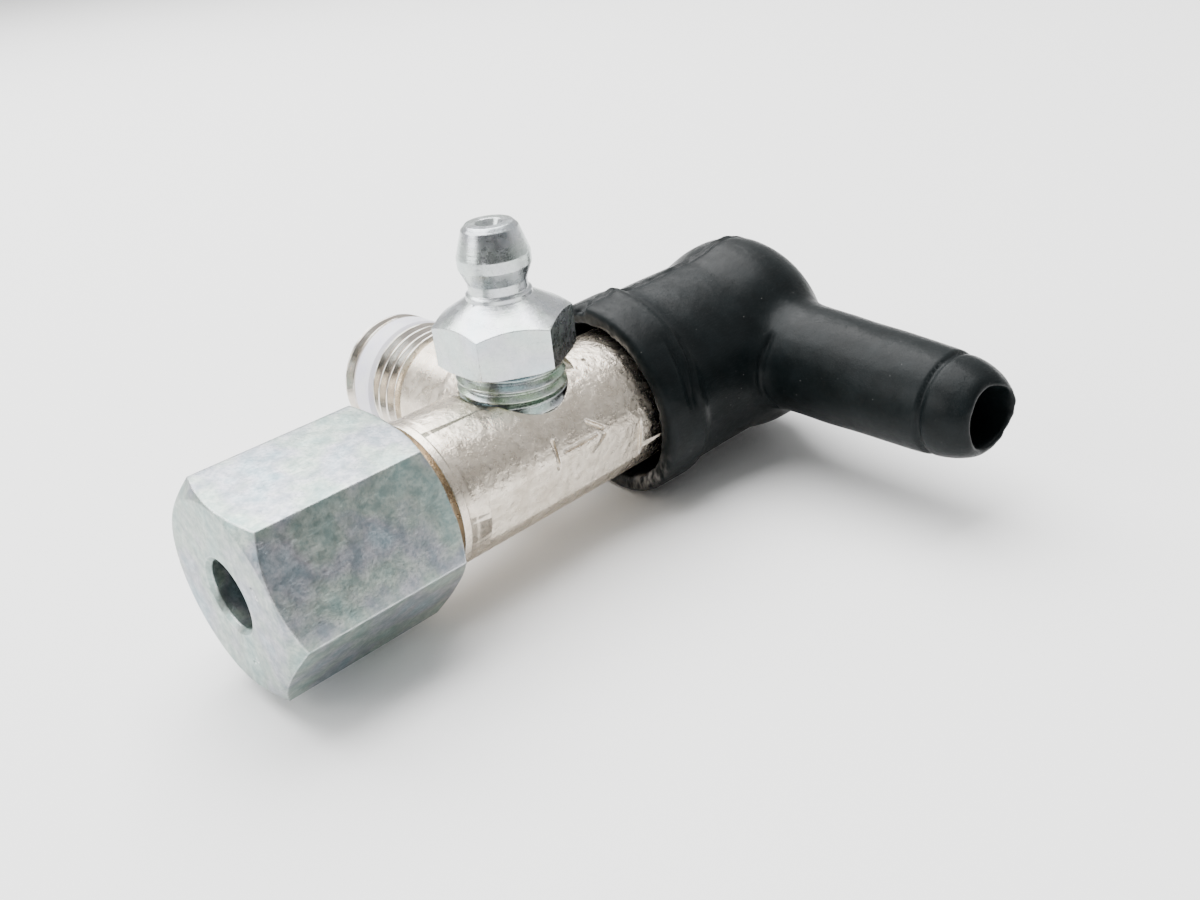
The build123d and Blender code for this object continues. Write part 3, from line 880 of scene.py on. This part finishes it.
@dataclass
class ShapeTree:
    """A Geometry Nodes tree with named sizes, and what it takes to turn it into a plain mesh."""

    sizes: ClassVar[tuple[str, ...]] = ()
    sharp: ClassVar[float | None] = None  # degrees between faces above which the edge is sharp

    name: str
    group: bpy.types.NodeTree = field(init=False)
    sheet: NodeSheet = field(init=False)
    inputs: bpy.types.Node = field(init=False)

    def __post_init__(self) -> None:
        """Makes the tree with its sockets, and lets the subclass fill it."""
        self.group = bpy.data.node_groups.new(self.name, "GeometryNodeTree")
        face = self.group.interface
        face.new_socket("Geometry", in_out="INPUT", socket_type="NodeSocketGeometry")
        for name in self.sizes:
            face.new_socket(name, in_out="INPUT", socket_type="NodeSocketFloat")
        face.new_socket("Finish", in_out="INPUT", socket_type="NodeSocketMaterial")
        face.new_socket("Geometry", in_out="OUTPUT", socket_type="NodeSocketGeometry")
        self.sheet = NodeSheet(self.group)
        self.inputs = self.sheet.add("NodeGroupInput")
        realised = self.sheet.add("GeometryNodeRealizeInstances", {0: self.shape()}).outputs[0]
        painted = self.sheet.add(
            "GeometryNodeSetMaterial", {"Geometry": realised, "Material": self.inputs.outputs["Finish"]}
        )
        self.sheet.add("NodeGroupOutput", {0: painted.outputs[0]})

    def shape(self) -> bpy.types.NodeSocket:
        """Fills the tree and returns the geometry's socket."""
        raise NotImplementedError

    def make(self, name: str, finish: Finish, place: Matrix, sizes: dict[str, float]) -> bpy.types.Object:
        """Evaluates the tree once into a plain mesh.

        Args:
            name: the new object's name.
            finish: its finish.
            place: from the tree's millimetres to row metres.
            sizes: the values of the named inputs.

        Returns:
            The new object, shaded, with its origin at the row's.
        """
        base = bpy.data.meshes.new(name)
        made = bpy.data.objects.new(name, base)
        bpy.context.scene.collection.objects.link(made)
        finish.dress(made)
        modifier = made.modifiers.new("shape", "NODES")
        modifier.node_group = self.group
        for item in self.group.interface.items_tree:
            if item.in_out != "INPUT" or item.socket_type == "NodeSocketGeometry":
                continue
            if item.name == "Finish":
                modifier[item.identifier] = made.data.materials[0]
            else:
                modifier[item.identifier] = float(sizes[item.name])
        apply_modifiers(made)
        made.data.transform(place)
        outward(made)
        shade(made, self.sharp)
        return made


@dataclass
class HelicalThread(ShapeTree):
    """A closed sleeve along X whose outside carries a right-hand helical thread."""

    sizes = ("Crest Radius", "Root Radius", "Inner Radius", "Pitch", "Length", "Run Out")
    sharp = THREAD_ANGLE

    around: int = 144
    along: int = 300
    outside: float = 0.97  # share of the rows that lie on the outside

    def shape(self) -> bpy.types.NodeSocket:
        """Wraps a grid round X, out along the thread and back along the inside."""
        sheet, size = self.sheet, self.inputs.outputs
        counts = {"Vertices X": self.around, "Vertices Y": self.along}
        grid = sheet.add("GeometryNodeMeshGrid", {"Size X": 1.0, "Size Y": 1.0, **counts})
        split = sheet.parts(sheet.add("GeometryNodeInputPosition").outputs[0])
        turn = split.outputs[0]
        row = sheet.math("ADD", split.outputs[1], 0.5)
        out = sheet.math("DIVIDE", row, self.outside, clamp=True)
        past = sheet.math("SUBTRACT", row, self.outside)
        back = sheet.math("DIVIDE", past, 1.0 - self.outside, clamp=True)
        along = sheet.math("MULTIPLY", sheet.math("SUBTRACT", out, back), size["Length"])
        seams = (sheet.math("GREATER_THAN", back, 1e-4), sheet.math("LESS_THAN", row, 1e-4))
        inside = sheet.math("MAXIMUM", *seams)
        phase = sheet.math("ADD", sheet.math("DIVIDE", along, size["Pitch"]), turn)
        ridge = sheet.math("ABSOLUTE", sheet.math("SUBTRACT", sheet.math("FRACT", phase), 0.5))
        ridge = sheet.step(ridge, 0.06, 0.44)
        left = sheet.math("SUBTRACT", size["Length"], along)
        run_out = sheet.math("DIVIDE", sheet.math("MINIMUM", along, left), size["Run Out"], clamp=True)
        height = sheet.math("SUBTRACT", size["Crest Radius"], size["Root Radius"])
        height = sheet.math("MULTIPLY", sheet.math("MULTIPLY", height, ridge), run_out)
        radius = sheet.math("ADD", size["Root Radius"], height)
        sunk = sheet.math("MULTIPLY", inside, sheet.math("SUBTRACT", radius, size["Inner Radius"]))
        radius = sheet.math("SUBTRACT", radius, sunk)
        angle = sheet.math("MULTIPLY", turn, 2 * math.pi)
        across = [sheet.math("MULTIPLY", radius, sheet.math(way, angle)) for way in ("COSINE", "SINE")]
        wrapped = sheet.add("ShaderNodeCombineXYZ", {0: along, 1: across[0], 2: across[1]}).outputs[0]
        moved = sheet.add("GeometryNodeSetPosition", {"Geometry": grid.outputs[0], "Position": wrapped})
        merged = sheet.add("GeometryNodeMergeByDistance", {"Geometry": moved.outputs[0], "Distance": 1e-4})
        return merged.outputs[0]


@dataclass
class WireCoil(ShapeTree):
    """A compression spring of round wire, standing on Z = 0."""

    sizes = ("Radius", "Wire Radius", "Turns", "Height")

    steps: int = 48  # a turn
    profile: int = 14  # corners round the wire

    def shape(self) -> bpy.types.NodeSocket:
        """Sweeps a circle along a helix."""
        sheet, size = self.sheet, self.inputs.outputs
        radii = {"Start Radius": size["Radius"], "End Radius": size["Radius"]}
        turns = {"Resolution": self.steps, "Rotations": size["Turns"], "Height": size["Height"]}
        helix = sheet.add("GeometryNodeCurveSpiral", {**turns, **radii}).outputs[0]
        round_wire = {"Resolution": self.profile, "Radius": size["Wire Radius"]}
        circle = sheet.add("GeometryNodeCurvePrimitiveCircle", round_wire).outputs[0]
        swept = {"Curve": helix, "Profile Curve": circle, "Fill Caps": True}
        return sheet.add("GeometryNodeCurveToMesh", swept).outputs[0]


def outward(thing: bpy.types.Object) -> None:
    """Points a closed mesh's faces outwards.

    Args:
        thing: the mesh object.
    """
    edit = bmesh.new()
    edit.from_mesh(thing.data)
    bmesh.ops.recalc_face_normals(edit, faces=edit.faces)
    edit.to_mesh(thing.data)
    edit.free()


# ---- sub-assemblies ------------------------------------------------------------------------------


@dataclass
class ValveBody:
    """Nickel-plated barrel and spigot, with helical inlet threads and a stamped flow mark."""

    frame: dict
    thread_crest: float = 6.58
    thread_root: float = 5.80
    thread_pitch: float = 1.337
    thread_stretches: tuple[tuple[float, float], ...] = ((16.0, 20.15), (23.45, 25.15))
    run_out: float = 0.35  # length over which the thread fades
    mark_angle: float = 167.0  # about X, from +Y towards +Z
    mark_radius: float = 0.24
    mark_depth: float = 0.04  # of the stroke's centre line, under the skin
    barrel_radius: float = 7.0
    mark_strokes: tuple[tuple[float, float, float, float], ...] = (
        (-1.5, -1.35, -1.5, 1.35),
        (-0.5, 0.0, 3.35, 0.0),
        (4.3, 0.29, 2.8, 1.55),
        (4.3, -0.29, 2.8, -1.55),
    )  # from x, sideways to x, sideways

    def build(self) -> list[bpy.types.Object]:
        """Makes the body's skin and its threads.

        Returns:
            The new pieces.
        """
        skin = merged_copy(self.frame["nodes"]["valve_body"], "valve_body_skin")
        self.stamp(skin)
        crests = tuple((start + 0.1, end + 0.12) for start, end in self.thread_stretches)
        draw_in(skin, Turning.SPIGOT, self.thread_root, crests)
        shade(skin, CRISP_ANGLE)
        true_round(skin, (Turning.BARREL, Turning.SPIGOT, Turning.NIPPLE))
        Finish.NICKEL.dress(skin)
        thread = HelicalThread("helical_thread")
        pieces = [skin]
        for number, (start, end) in enumerate(self.thread_stretches, 1):
            sleeve = thread.make(
                f"inlet_thread_{number}",
                Finish.SPIGOT_NICKEL,
                Turning.SPIGOT.place @ Matrix.Translation((start, 0, 0)),
                {
                    "Crest Radius": self.thread_crest,
                    "Root Radius": self.thread_root + THREAD_COVER,
                    "Inner Radius": self.thread_root - THREAD_DEPTH,
                    "Pitch": self.thread_pitch,
                    "Length": end - start,
                    "Run Out": self.run_out,
                },
            )
            pieces.append(sleeve)
        for piece in pieces:
            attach(piece, "valve_body")
        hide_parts("valve_body")
        return pieces

    def stamp(self, skin: bpy.types.Object) -> None:
        """Presses a generic flow arrow with a bar into the barrel's side.

        Args:
            skin: the copy of the CAD body.
        """
        turn = Matrix.Rotation(math.radians(self.mark_angle), 4, "X")
        tool = bmesh.new()
        for x0, s0, x1, s1 in self.mark_strokes:
            depth = self.barrel_radius - self.mark_depth
            ends = []
            for x, sideways in ((x0, s0), (x1, s1)):
                around = sideways / self.barrel_radius
                ends.append(Vector((x, depth * math.cos(around), depth * math.sin(around))))
            self.capsule(tool, ends[0], ends[1])
        bmesh.ops.transform(tool, matrix=Matrix.Translation(VALVE_CENTRE) @ turn, verts=tool.verts)
        cut_away(skin, tool)

    def capsule(self, tool: bmesh.types.BMesh, start: Vector, end: Vector) -> None:
        """Adds one round-ended stroke to the stamping tool.

        Args:
            tool: the tool's mesh.
            start: centre of the stroke's first end.
            end: centre of its last end.
        """
        sphere = bmesh.ops.create_uvsphere(tool, u_segments=16, v_segments=10, radius=self.mark_radius)
        made = sphere["verts"]
        along = end - start
        for vertex in made:
            if vertex.co.z > 1e-6:
                vertex.co.z += along.length
        turn = along.to_track_quat("Z", "Y").to_matrix().to_4x4()
        bmesh.ops.transform(tool, matrix=Matrix.Translation(start) @ turn, verts=made)


@dataclass
class UnionNut:
    """Hexagon nut with rounded edges and two pairs of small punch marks on its face."""

    frame: dict
    face_x: float = -30.5
    punch_radius: float = 0.22
    punch_lift: float = 0.08  # of a mark's centre, off the face
    punch_marks: tuple[tuple[float, float], ...] = (
        (5.75, 150.0),
        (5.9, 158.0),
        (5.6, -112.0),
        (5.8, -104.0),
    )  # radius, and degrees about X from +Y
    edge_width: float = 0.13
    one_plane: float = 0.6  # degrees between triangles of one flat face
    bevel_from: float = 24.0  # degrees between faces whose edge is rounded

    def build(self) -> list[bpy.types.Object]:
        """Makes the nut's skin.

        Returns:
            The new piece.
        """
        nut = merged_copy(self.frame["nodes"]["union_nut"], "union_nut_skin")
        flatten = nut.modifiers.new("flat faces", "DECIMATE")
        flatten.decimate_type = "DISSOLVE"
        flatten.angle_limit = math.radians(self.one_plane)
        round_off = nut.modifiers.new("soft edges", "BEVEL")
        round_off.width = self.edge_width * MM
        round_off.segments = 3
        round_off.limit_method = "ANGLE"
        round_off.angle_limit = math.radians(self.bevel_from)
        round_off.use_clamp_overlap = True
        apply_modifiers(nut)
        self.punch(nut)
        shade(nut, 30.0)
        true_round(nut, (Turning.BARREL,))
        Finish.NUT_ZINC.dress(nut)
        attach(nut, "union_nut")
        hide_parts("union_nut")
        return [nut]

    def punch(self, nut: bpy.types.Object) -> None:
        """Presses the small round punch marks into the front face.

        Args:
            nut: the nut's mesh object.
        """
        tool = bmesh.new()
        for radius, angle in self.punch_marks:
            turn = math.radians(angle)
            x = self.face_x - self.punch_lift
            place = Vector((x, radius * math.cos(turn), radius * math.sin(turn)))
            matrix = Matrix.Translation(VALVE_CENTRE + place)
            bmesh.ops.create_icosphere(tool, subdivisions=2, radius=self.punch_radius, matrix=matrix)
        cut_away(nut, tool)


@dataclass
class GreaseNipple:
    """Turned zinc-plated nipple with its check ball, spring and press-in stop."""

    frame: dict
    thread_crest: float = 5.0
    thread_root: float = 4.45
    thread_pitch: float = 1.0
    thread_start: float = 6.0
    thread_end: float = 9.0
    run_out: float = 0.3  # length over which the thread fades
    coil_radius: float = 1.03
    wire_radius: float = 0.12
    coil_turns: float = 8.0

    def build(self) -> list[bpy.types.Object]:
        """Makes the nipple's pieces.

        Returns:
            The new pieces.
        """
        nodes = self.frame["nodes"]
        skin = merged_copy(nodes["nipple_body"], "nipple_skin")
        crests = ((self.thread_start + 0.05, self.thread_end - 0.05),)
        draw_in(skin, Turning.NIPPLE, self.thread_root, crests)
        shade(skin, CRISP_ANGLE)
        true_round(skin, (Turning.NIPPLE,))
        Finish.NIPPLE_ZINC.dress(skin)
        thread = HelicalThread("nipple_thread", along=160).make(
            "nipple_thread",
            Finish.NIPPLE_THREAD_ZINC,
            Turning.NIPPLE.place @ Matrix.Translation((self.thread_start, 0, 0)),
            {
                "Crest Radius": self.thread_crest - THREAD_COVER,
                "Root Radius": self.thread_root + THREAD_COVER,
                "Inner Radius": self.thread_root - THREAD_DEPTH,
                "Pitch": self.thread_pitch,
                "Length": self.thread_end - self.thread_start,
                "Run Out": self.run_out,
            },
        )
        low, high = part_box("nipple_spring")
        foot = Vector((VALVE_CENTRE.x, VALVE_CENTRE.y, low.z / MM + self.wire_radius))
        spring = WireCoil("spring_wire").make(
            "nipple_spring_wire",
            Finish.SPRING,
            Matrix.Scale(MM, 4) @ Matrix.Translation(foot),
            {
                "Radius": self.coil_radius,
                "Wire Radius": self.wire_radius,
                "Turns": self.coil_turns,
                "Height": (high.z - low.z) / MM - 2 * self.wire_radius,
            },
        )
        for piece, node, slot in (
            (skin, "nipple_body", "zinc_plated_nipple"),
            (thread, None, "zinc_plated_nipple"),
            (spring, "nipple_spring", "spring_steel"),
        ):
            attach(piece, "valve_body")
            if node:
                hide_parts(node)
        Finish.BALL.dress(nodes["nipple_ball"])
        Finish.SPRING.dress(nodes["nipple_spring_stop"])
        return [skin, thread, spring]


@dataclass
class ReliefStack:
    """The parts inside the barrel: seat, ball, carrier, spring, plate and screws."""

    frame: dict
    coil_radius: float = 2.75
    wire_radius: float = 0.55
    coil_turns: float = 4.0

    def build(self) -> list[bpy.types.Object]:
        """Dresses the stack and makes its spring.

        Returns:
            The new pieces.
        """
        nodes = self.frame["nodes"]
        for node, finish in (
            ("cutting_ring", Finish.PHOSPHATE),
            ("seat_washer", Finish.COPPER),
            ("relief_seat", Finish.SEAT),
            ("relief_ball", Finish.BALL),
            ("ball_carrier", Finish.SEAT),
            ("spring_plate", Finish.PHOSPHATE),
            ("adjusting_screw", Finish.SCREW_ZINC),
            ("lock_screw", Finish.SCREW_ZINC),
            ("inlet_sealing_ring", Finish.SEAL),
        ):
            finish.dress(nodes[node])
        low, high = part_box("relief_spring")
        turn = Matrix.Rotation(math.radians(90), 4, "Y")
        place = Matrix.Translation((low.x / MM + self.wire_radius, VALVE_CENTRE.y, 0)) @ turn
        spring = WireCoil("relief_wire").make(
            "relief_spring_wire",
            Finish.SPRING,
            Matrix.Scale(MM, 4) @ place,
            {
                "Radius": self.coil_radius,
                "Wire Radius": self.wire_radius,
                "Turns": self.coil_turns,
                "Height": (high.x - low.x) / MM - 2 * self.wire_radius,
            },
        )
        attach(spring, "spring_plate")
        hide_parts("relief_spring")
        return [spring]


@dataclass
class DischargeCap:
    """Black rubber elbow cap with a mould seam, nicked rim, creases, blended spout and a cut mouth."""

    frame: dict
    pivot_x: float = 20.0
    yaw: float = -5.1
    pitch: float = 3.3
    rim_to_pivot: float = 8.6
    rim_radius: float = 10.1
    head_at: float = 19.4
    spout_at: float = 18.6
    spout_radius: float = 5.5
    spout_end: float = 32.3
    voxel: float = 0.255
    softening: tuple[int, int, int] = (5, 60, 40)  # rounds for the whole skin, the spout's root and the flare
    parting_at: float = 27.5  # groove round the spout, from the cap's axis
    seam_angle: float = 80.0
    nub_angle: float = -128.0

    @property
    def place(self) -> Matrix:
        """Matrix from cap millimetres to row metres."""
        turn = Matrix.Rotation(math.radians(self.yaw), 4, "Z")
        turn @= Matrix.Rotation(math.radians(-self.pitch), 4, "Y")
        centre = Matrix.Translation(VALVE_CENTRE + Vector((self.pivot_x, 0, 0)))
        return Matrix.Scale(MM, 4) @ centre @ turn @ Matrix.Translation((-self.rim_to_pivot, 0, 0))

    def build(self) -> list[bpy.types.Object]:
        """Makes the cap's skin.

        Returns:
            The new piece.
        """
        cap = merged_copy(self.frame["nodes"]["discharge_cap"], "discharge_cap_skin")
        cap.data.transform(self.place.inverted())
        remesh = cap.modifiers.new("even faces", "REMESH")
        remesh.mode = "VOXEL"
        remesh.voxel_size = self.voxel
        apply_modifiers(cap)
        places = vertex_array(cap.data)
        places = self.smoothed(cap.data, places)
        set_vertices(cap.data, places)
        normals = vertex_array(cap.data, "normal")
        places = places + normals * self.relief(places, normals)[:, None]
        places = places + self.cut_mouth(places)
        set_vertices(cap.data, places)
        # where the rim is painted lighter: a grease smear, partly a painted highlight
        smear = cap.data.attributes.new(Finish.RUBBER.value.smear, "FLOAT", "POINT")
        smear.data.foreach_set("value", self.grease_and_highlight(places).astype(np.float32))
        cap.data.transform(self.place)
        shade(cap, None)
        Finish.RUBBER.dress(cap)
        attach(cap, "discharge_cap")
        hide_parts("discharge_cap")
        return [cap]

    def smoothed(self, mesh: bpy.types.Mesh, places: np.ndarray) -> np.ndarray:
        """Softens the moulded edges, and blends the spout's root into the sleeve.

        Args:
            mesh: the remeshed cap.
            places: its vertices.

        Returns:
            The softened vertices.
        """
        edges = np.zeros(len(mesh.edges) * 2, np.int64)
        mesh.edges.foreach_get("vertices", edges)
        first, second = edges.reshape(-1, 2).T
        count = np.bincount(edges, minlength=len(places)).astype(float)
        radial = np.hypot(places[:, 1], places[:, 2])
        beside = np.hypot(places[:, 0] - self.spout_at, places[:, 2])
        outer = smooth_step(radial, 8.7, 9.1)
        root = outer * smooth_step(np.abs(beside - self.spout_radius), 2.6, 0.9) * (places[:, 1] < 0)
        root *= smooth_step(radial, 13.6, 11.8)
        flare = outer * smooth_step(np.abs(places[:, 0] - self.head_at + 2.6), 3.6, 1.6)
        weights = (0.5 * np.ones(len(places)), 0.6 * root, 0.6 * flare)
        for weight, rounds in zip(weights, self.softening):
            for _ in range(rounds):
                total = np.zeros_like(places)
                for axis in range(3):
                    total[:, axis] = np.bincount(first, places[second, axis], len(places))
                    total[:, axis] += np.bincount(second, places[first, axis], len(places))
                places = places + weight[:, None] * (total / count[:, None] - places)
        return places

    def relief(self, places: np.ndarray, normals: np.ndarray) -> np.ndarray:
        """Works out how far the moulding's fine shapes stand out of the skin, or lie under it.

        Args:
            places: the vertices, in cap millimetres.
            normals: their normals.

        Returns:
            Millimetres along each vertex's normal.
        """
        x, y, z = places.T
        radial = np.hypot(y, z)
        angle = np.degrees(np.arctan2(z, y))
        seam = math.radians(self.seam_angle)
        aside = z * math.cos(seam) - y * math.sin(seam)
        faces_out = (normals[:, 1] * y + normals[:, 2] * z) / np.maximum(radial, 1e-6) > 0.2
        outside = smooth_step(radial, 8.8, 9.2) * faces_out
        on_dome = (x > self.head_at) & (normals[:, 0] > 0.1)
        outside = np.maximum(outside, on_dome)
        top = smooth_step(y * math.cos(seam) + z * math.sin(seam), 0.5, 2.0)
        wander = 0.12 * np.sin(x * 0.8) + 0.08 * np.sin(x * 2.3 + 1.0)
        line = aside - wander
        height = 0.20 * np.exp(-((line / 0.24) ** 2)) - 0.15 * np.exp(-(((line - 0.5) / 0.28) ** 2))
        height += 0.12 * smooth_step(line, -0.25, 0.25) * smooth_step(line, 3.5, 0.3)
        total = height * outside * top
        # nick and thumb mark where the seam crosses the collar
        nick = np.exp(-((aside / 0.55) ** 2)) * smooth_step(x, 2.4, 0.6)
        total -= 0.8 * nick * outside * top
        thumb = np.exp(-(((x - 4.6) / 0.8) ** 2) - ((aside - 0.2) / 1.5) ** 2)
        total += 0.22 * thumb * outside * top
        # two pinched creases that run together at the collar's end
        for start, end, width, depth in ((4.9, 3.7, 0.26, 0.42), (3.3, 3.0, 0.24, 0.34)):
            share = np.clip((angle - 136.0) / 32.0, 0, 1)
            centre = start + (end - start) * share
            fade = smooth_step(angle, 126.0, 142.0) * smooth_step(angle, 178.0, 164.0)
            total -= depth * fade * outside * np.exp(-(((x - centre) / width) ** 2))
        fold = smooth_step(angle, 130.0, 145.0) * smooth_step(angle, 176.0, 162.0)
        total += 0.16 * fold * outside * np.exp(-(((x - 4.1) / 0.45) ** 2))
        # fine line where the spout leaves the sleeve
        beside = np.hypot(x - self.spout_at, z)
        left = smooth_step(self.spout_at - x, 3.6, 4.4) * (y < 0)
        at_root = np.exp(-(((-y - 9.75) / 0.22) ** 2)) * smooth_step(np.abs(beside - 5.7), 0.9, 0.4)
        total -= 0.30 * at_root * left
        # parting groove before the spout's domed nose
        around_spout = smooth_step(beside, 3.9, 4.3) * (y < -14.0)
        total -= 0.30 * around_spout * np.exp(-(((-y - self.parting_at) / 0.26) ** 2))
        # rough inner edge and face of the rim
        rim = smooth_step(x, 1.1, 0.1) * smooth_step(radial, self.rim_radius, 9.0)
        near = np.flatnonzero(rim > 0.01)
        total[near] += 0.06 * rim[near] * wobble(places[near], 1.6, 3.0, 4)
        nub = self.round_nub(angle, 24.0)
        total[near] += 0.40 * (rim * nub)[near] * wobble(places[near], 0.75, 9.0, 3)
        # soft unevenness of the rubber
        coarse = wobble(places, 0.16, 5.0, 2)
        total += 0.06 * coarse * smooth_step(radial, 8.6, 9.0)
        total += np.where(radial > 12.0, 0.04 * coarse, 0.0)
        return total

    def cut_mouth(self, places: np.ndarray) -> np.ndarray:
        """Leaves the spout's mouth as a knife leaves it.

        Args:
            places: the vertices, in cap millimetres.

        Returns:
            How far each vertex moves.
        """
        x, y, z = places.T
        along = -y
        across = x - self.spout_at
        angle = np.arctan2(z, across)
        radius = np.hypot(across, z)
        near = smooth_step(along, self.spout_end - 1.3, self.spout_end - 0.1)
        ragged = 0.14 * np.sin(2 * angle + 0.6) + 0.05 * np.sin(5 * angle + 2.0)
        ragged += 0.015 * np.sin(11 * angle)
        nibbled = smooth_step(np.cos(angle + 0.5), -0.2, 0.6) * 0.03 * np.sin(17 * angle)
        lip = smooth_step(radius, 4.4, 3.2)
        move = np.zeros_like(places)
        move[:, 1] = -near * (ragged + nibbled * lip - 0.18)
        outwards = near * lip * (0.08 * np.sin(3 * angle + 1.0) + 0.02 * np.sin(9 * angle))
        move[:, 0] = outwards * np.cos(angle)
        move[:, 2] = outwards * np.sin(angle)
        return move

    def grease_and_highlight(self, places: np.ndarray) -> np.ndarray:
        """Works out where a smear of grease, partly a painted highlight, lies on the rim.

        Args:
            places: the vertices, in cap millimetres.

        Returns:
            From 0 to 1 for each vertex.
        """
        x, y, z = places.T
        angle = np.degrees(np.arctan2(z, y))
        radial = np.hypot(y, z)
        across = smooth_step(radial, 10.2, 9.4) * smooth_step(radial, 7.6, 8.2)
        return self.round_nub(angle, 22.0) * smooth_step(x, 1.6, 0.2) * across

    def round_nub(self, angle: np.ndarray, width: float) -> np.ndarray:
        """Rises towards the rough nub on the rim.

        Args:
            angle: degrees about the sleeve, for each vertex.
            width: degrees over which it falls off.

        Returns:
            From 0 far away to 1 at the nub.
        """
        return np.exp(-((((angle - self.nub_angle + 180) % 360 - 180) / width) ** 2))


@dataclass(frozen=True)
class SoftLight:
    """A soft square light."""

    name: str
    side: tuple[float, float, float]  # direction from the object to the light
    distance: float  # metres
    size: float  # metres
    power: float  # watts


@dataclass
class Studio:
    """Pale floor, soft lights and the camera."""

    camera_at: Vector = field(default_factory=lambda: Vector((-60.789, -91.312, 47.923)))
    right: Vector = field(default_factory=lambda: Vector((0.70732, -0.69977, -0.10010)))
    up: Vector = field(default_factory=lambda: Vector((0.39079, 0.26908, 0.88027)))
    back: Vector = field(default_factory=lambda: Vector((-0.58905, -0.66175, 0.46379)))
    lens: float = 33.95
    sensor: float = 36.0
    floor_size: float = 14.0  # metres
    floor_colour: Colour = (0.93, 0.93, 0.925)
    sky: Colour = (1.0, 1.0, 1.0)
    sky_strength: float = 0.85
    dark_side: Vector = field(default_factory=lambda: Vector((-0.66, -0.75, 0.0)))
    dark_sky: Colour = (0.045, 0.048, 0.05)
    target: Vector = field(default_factory=lambda: Vector((-2.0, -22.0, 3.0)) * MM)
    lights: tuple[SoftLight, ...] = (
        SoftLight("window", (0.10, 0.40, 1.0), 0.75, 0.90, 22.0),
        SoftLight("side_fill", (-1.0, 0.45, 0.55), 0.8, 0.45, 4.0),
    )

    def build(self, lowest: float) -> None:
        """Makes the studio.

        Args:
            lowest: height of the object's lowest point, in metres.
        """
        self.make_floor(lowest)
        self.make_world()
        for light in self.lights:
            self.make_light(light)
        self.make_camera()

    def make_floor(self, height: float) -> None:
        """Lays the floor.

        Args:
            height: its height, in metres.
        """
        mesh = bpy.data.meshes.new("floor")
        half = self.floor_size / 2
        corners = [(x * half, y * half, height) for x, y in ((-1, -1), (1, -1), (1, 1), (-1, 1))]
        mesh.from_pydata(corners, [], [(0, 1, 2, 3)])
        floor = bpy.data.objects.new("floor", mesh)
        bpy.context.scene.collection.objects.link(floor)
        material, sheet, shader = new_material("studio_floor")
        place = sheet.add("ShaderNodeTexCoord").outputs["Object"]
        shade_of = sheet.noise(place, 3.0, 2.0)
        low = tuple(c * 0.985 for c in self.floor_colour)
        sheet.put(shader, "Base Color", sheet.mix(shade_of, low, self.floor_colour))
        shader.inputs["Roughness"].default_value = 0.6
        shader.inputs["Specular IOR Level"].default_value = 0.2
        mesh.materials.append(material)
        floor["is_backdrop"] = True

    def make_world(self) -> None:
        """Sets the sky: bright overhead, and greyer low down on the camera's side."""
        world = bpy.data.worlds.new("studio")
        bpy.context.scene.world = world
        world.use_nodes = True
        world.node_tree.nodes.clear()
        sheet = NodeSheet(world.node_tree)
        direction = sheet.add("ShaderNodeTexCoord").outputs["Generated"]
        low = sheet.step(sheet.parts(direction).outputs[2], 0.85, 0.25)
        side = sheet.step(sheet.dot(direction, self.dark_side), 0.0, 0.6)
        sky = sheet.mix(sheet.math("MULTIPLY", side, low), self.sky, self.dark_sky)
        background = sheet.add("ShaderNodeBackground", {"Color": sky})
        background.inputs["Strength"].default_value = self.sky_strength
        sheet.add("ShaderNodeOutputWorld", {0: background.outputs[0]})

    def make_light(self, soft: SoftLight) -> None:
        """Hangs a light that shines at the target.

        Args:
            soft: the light.
        """
        light = bpy.data.lights.new(soft.name, "AREA")
        light.size = soft.size
        light.energy = soft.power
        holder = bpy.data.objects.new(soft.name, light)
        bpy.context.scene.collection.objects.link(holder)
        side = Vector(soft.side)
        holder.location = self.target + side.normalized() * soft.distance
        holder.rotation_mode = "QUATERNION"
        holder.rotation_quaternion = side.to_track_quat("Z", "Y")

    def make_camera(self) -> None:
        """Sets up the camera."""
        data = bpy.data.cameras.new("camera")
        data.lens = self.lens
        data.sensor_width = self.sensor
        data.clip_start, data.clip_end = 0.005, 20.0
        camera = bpy.data.objects.new("camera", data)
        bpy.context.scene.collection.objects.link(camera)
        turn = Matrix((self.right, self.up, self.back)).transposed().to_4x4()
        camera.matrix_world = Matrix.Translation(self.camera_at * MM) @ turn
        bpy.context.scene.camera = camera


def main() -> None:
    """Loads the frame, builds each sub-assembly round it, and sets up the studio."""
    logging.basicConfig(level=logging.INFO, format="%(name)s: %(message)s")
    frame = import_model()
    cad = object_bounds()
    for kind in (ValveBody, UnionNut, GreaseNipple, ReliefStack, DischargeCap):
        for piece in kind(frame).build():
            log.info("%s: %s, %d faces", kind.__name__, piece.name, len(piece.data.polygons))
    Studio().build(cad[0].z)


if __name__ == "__main__":
    main()
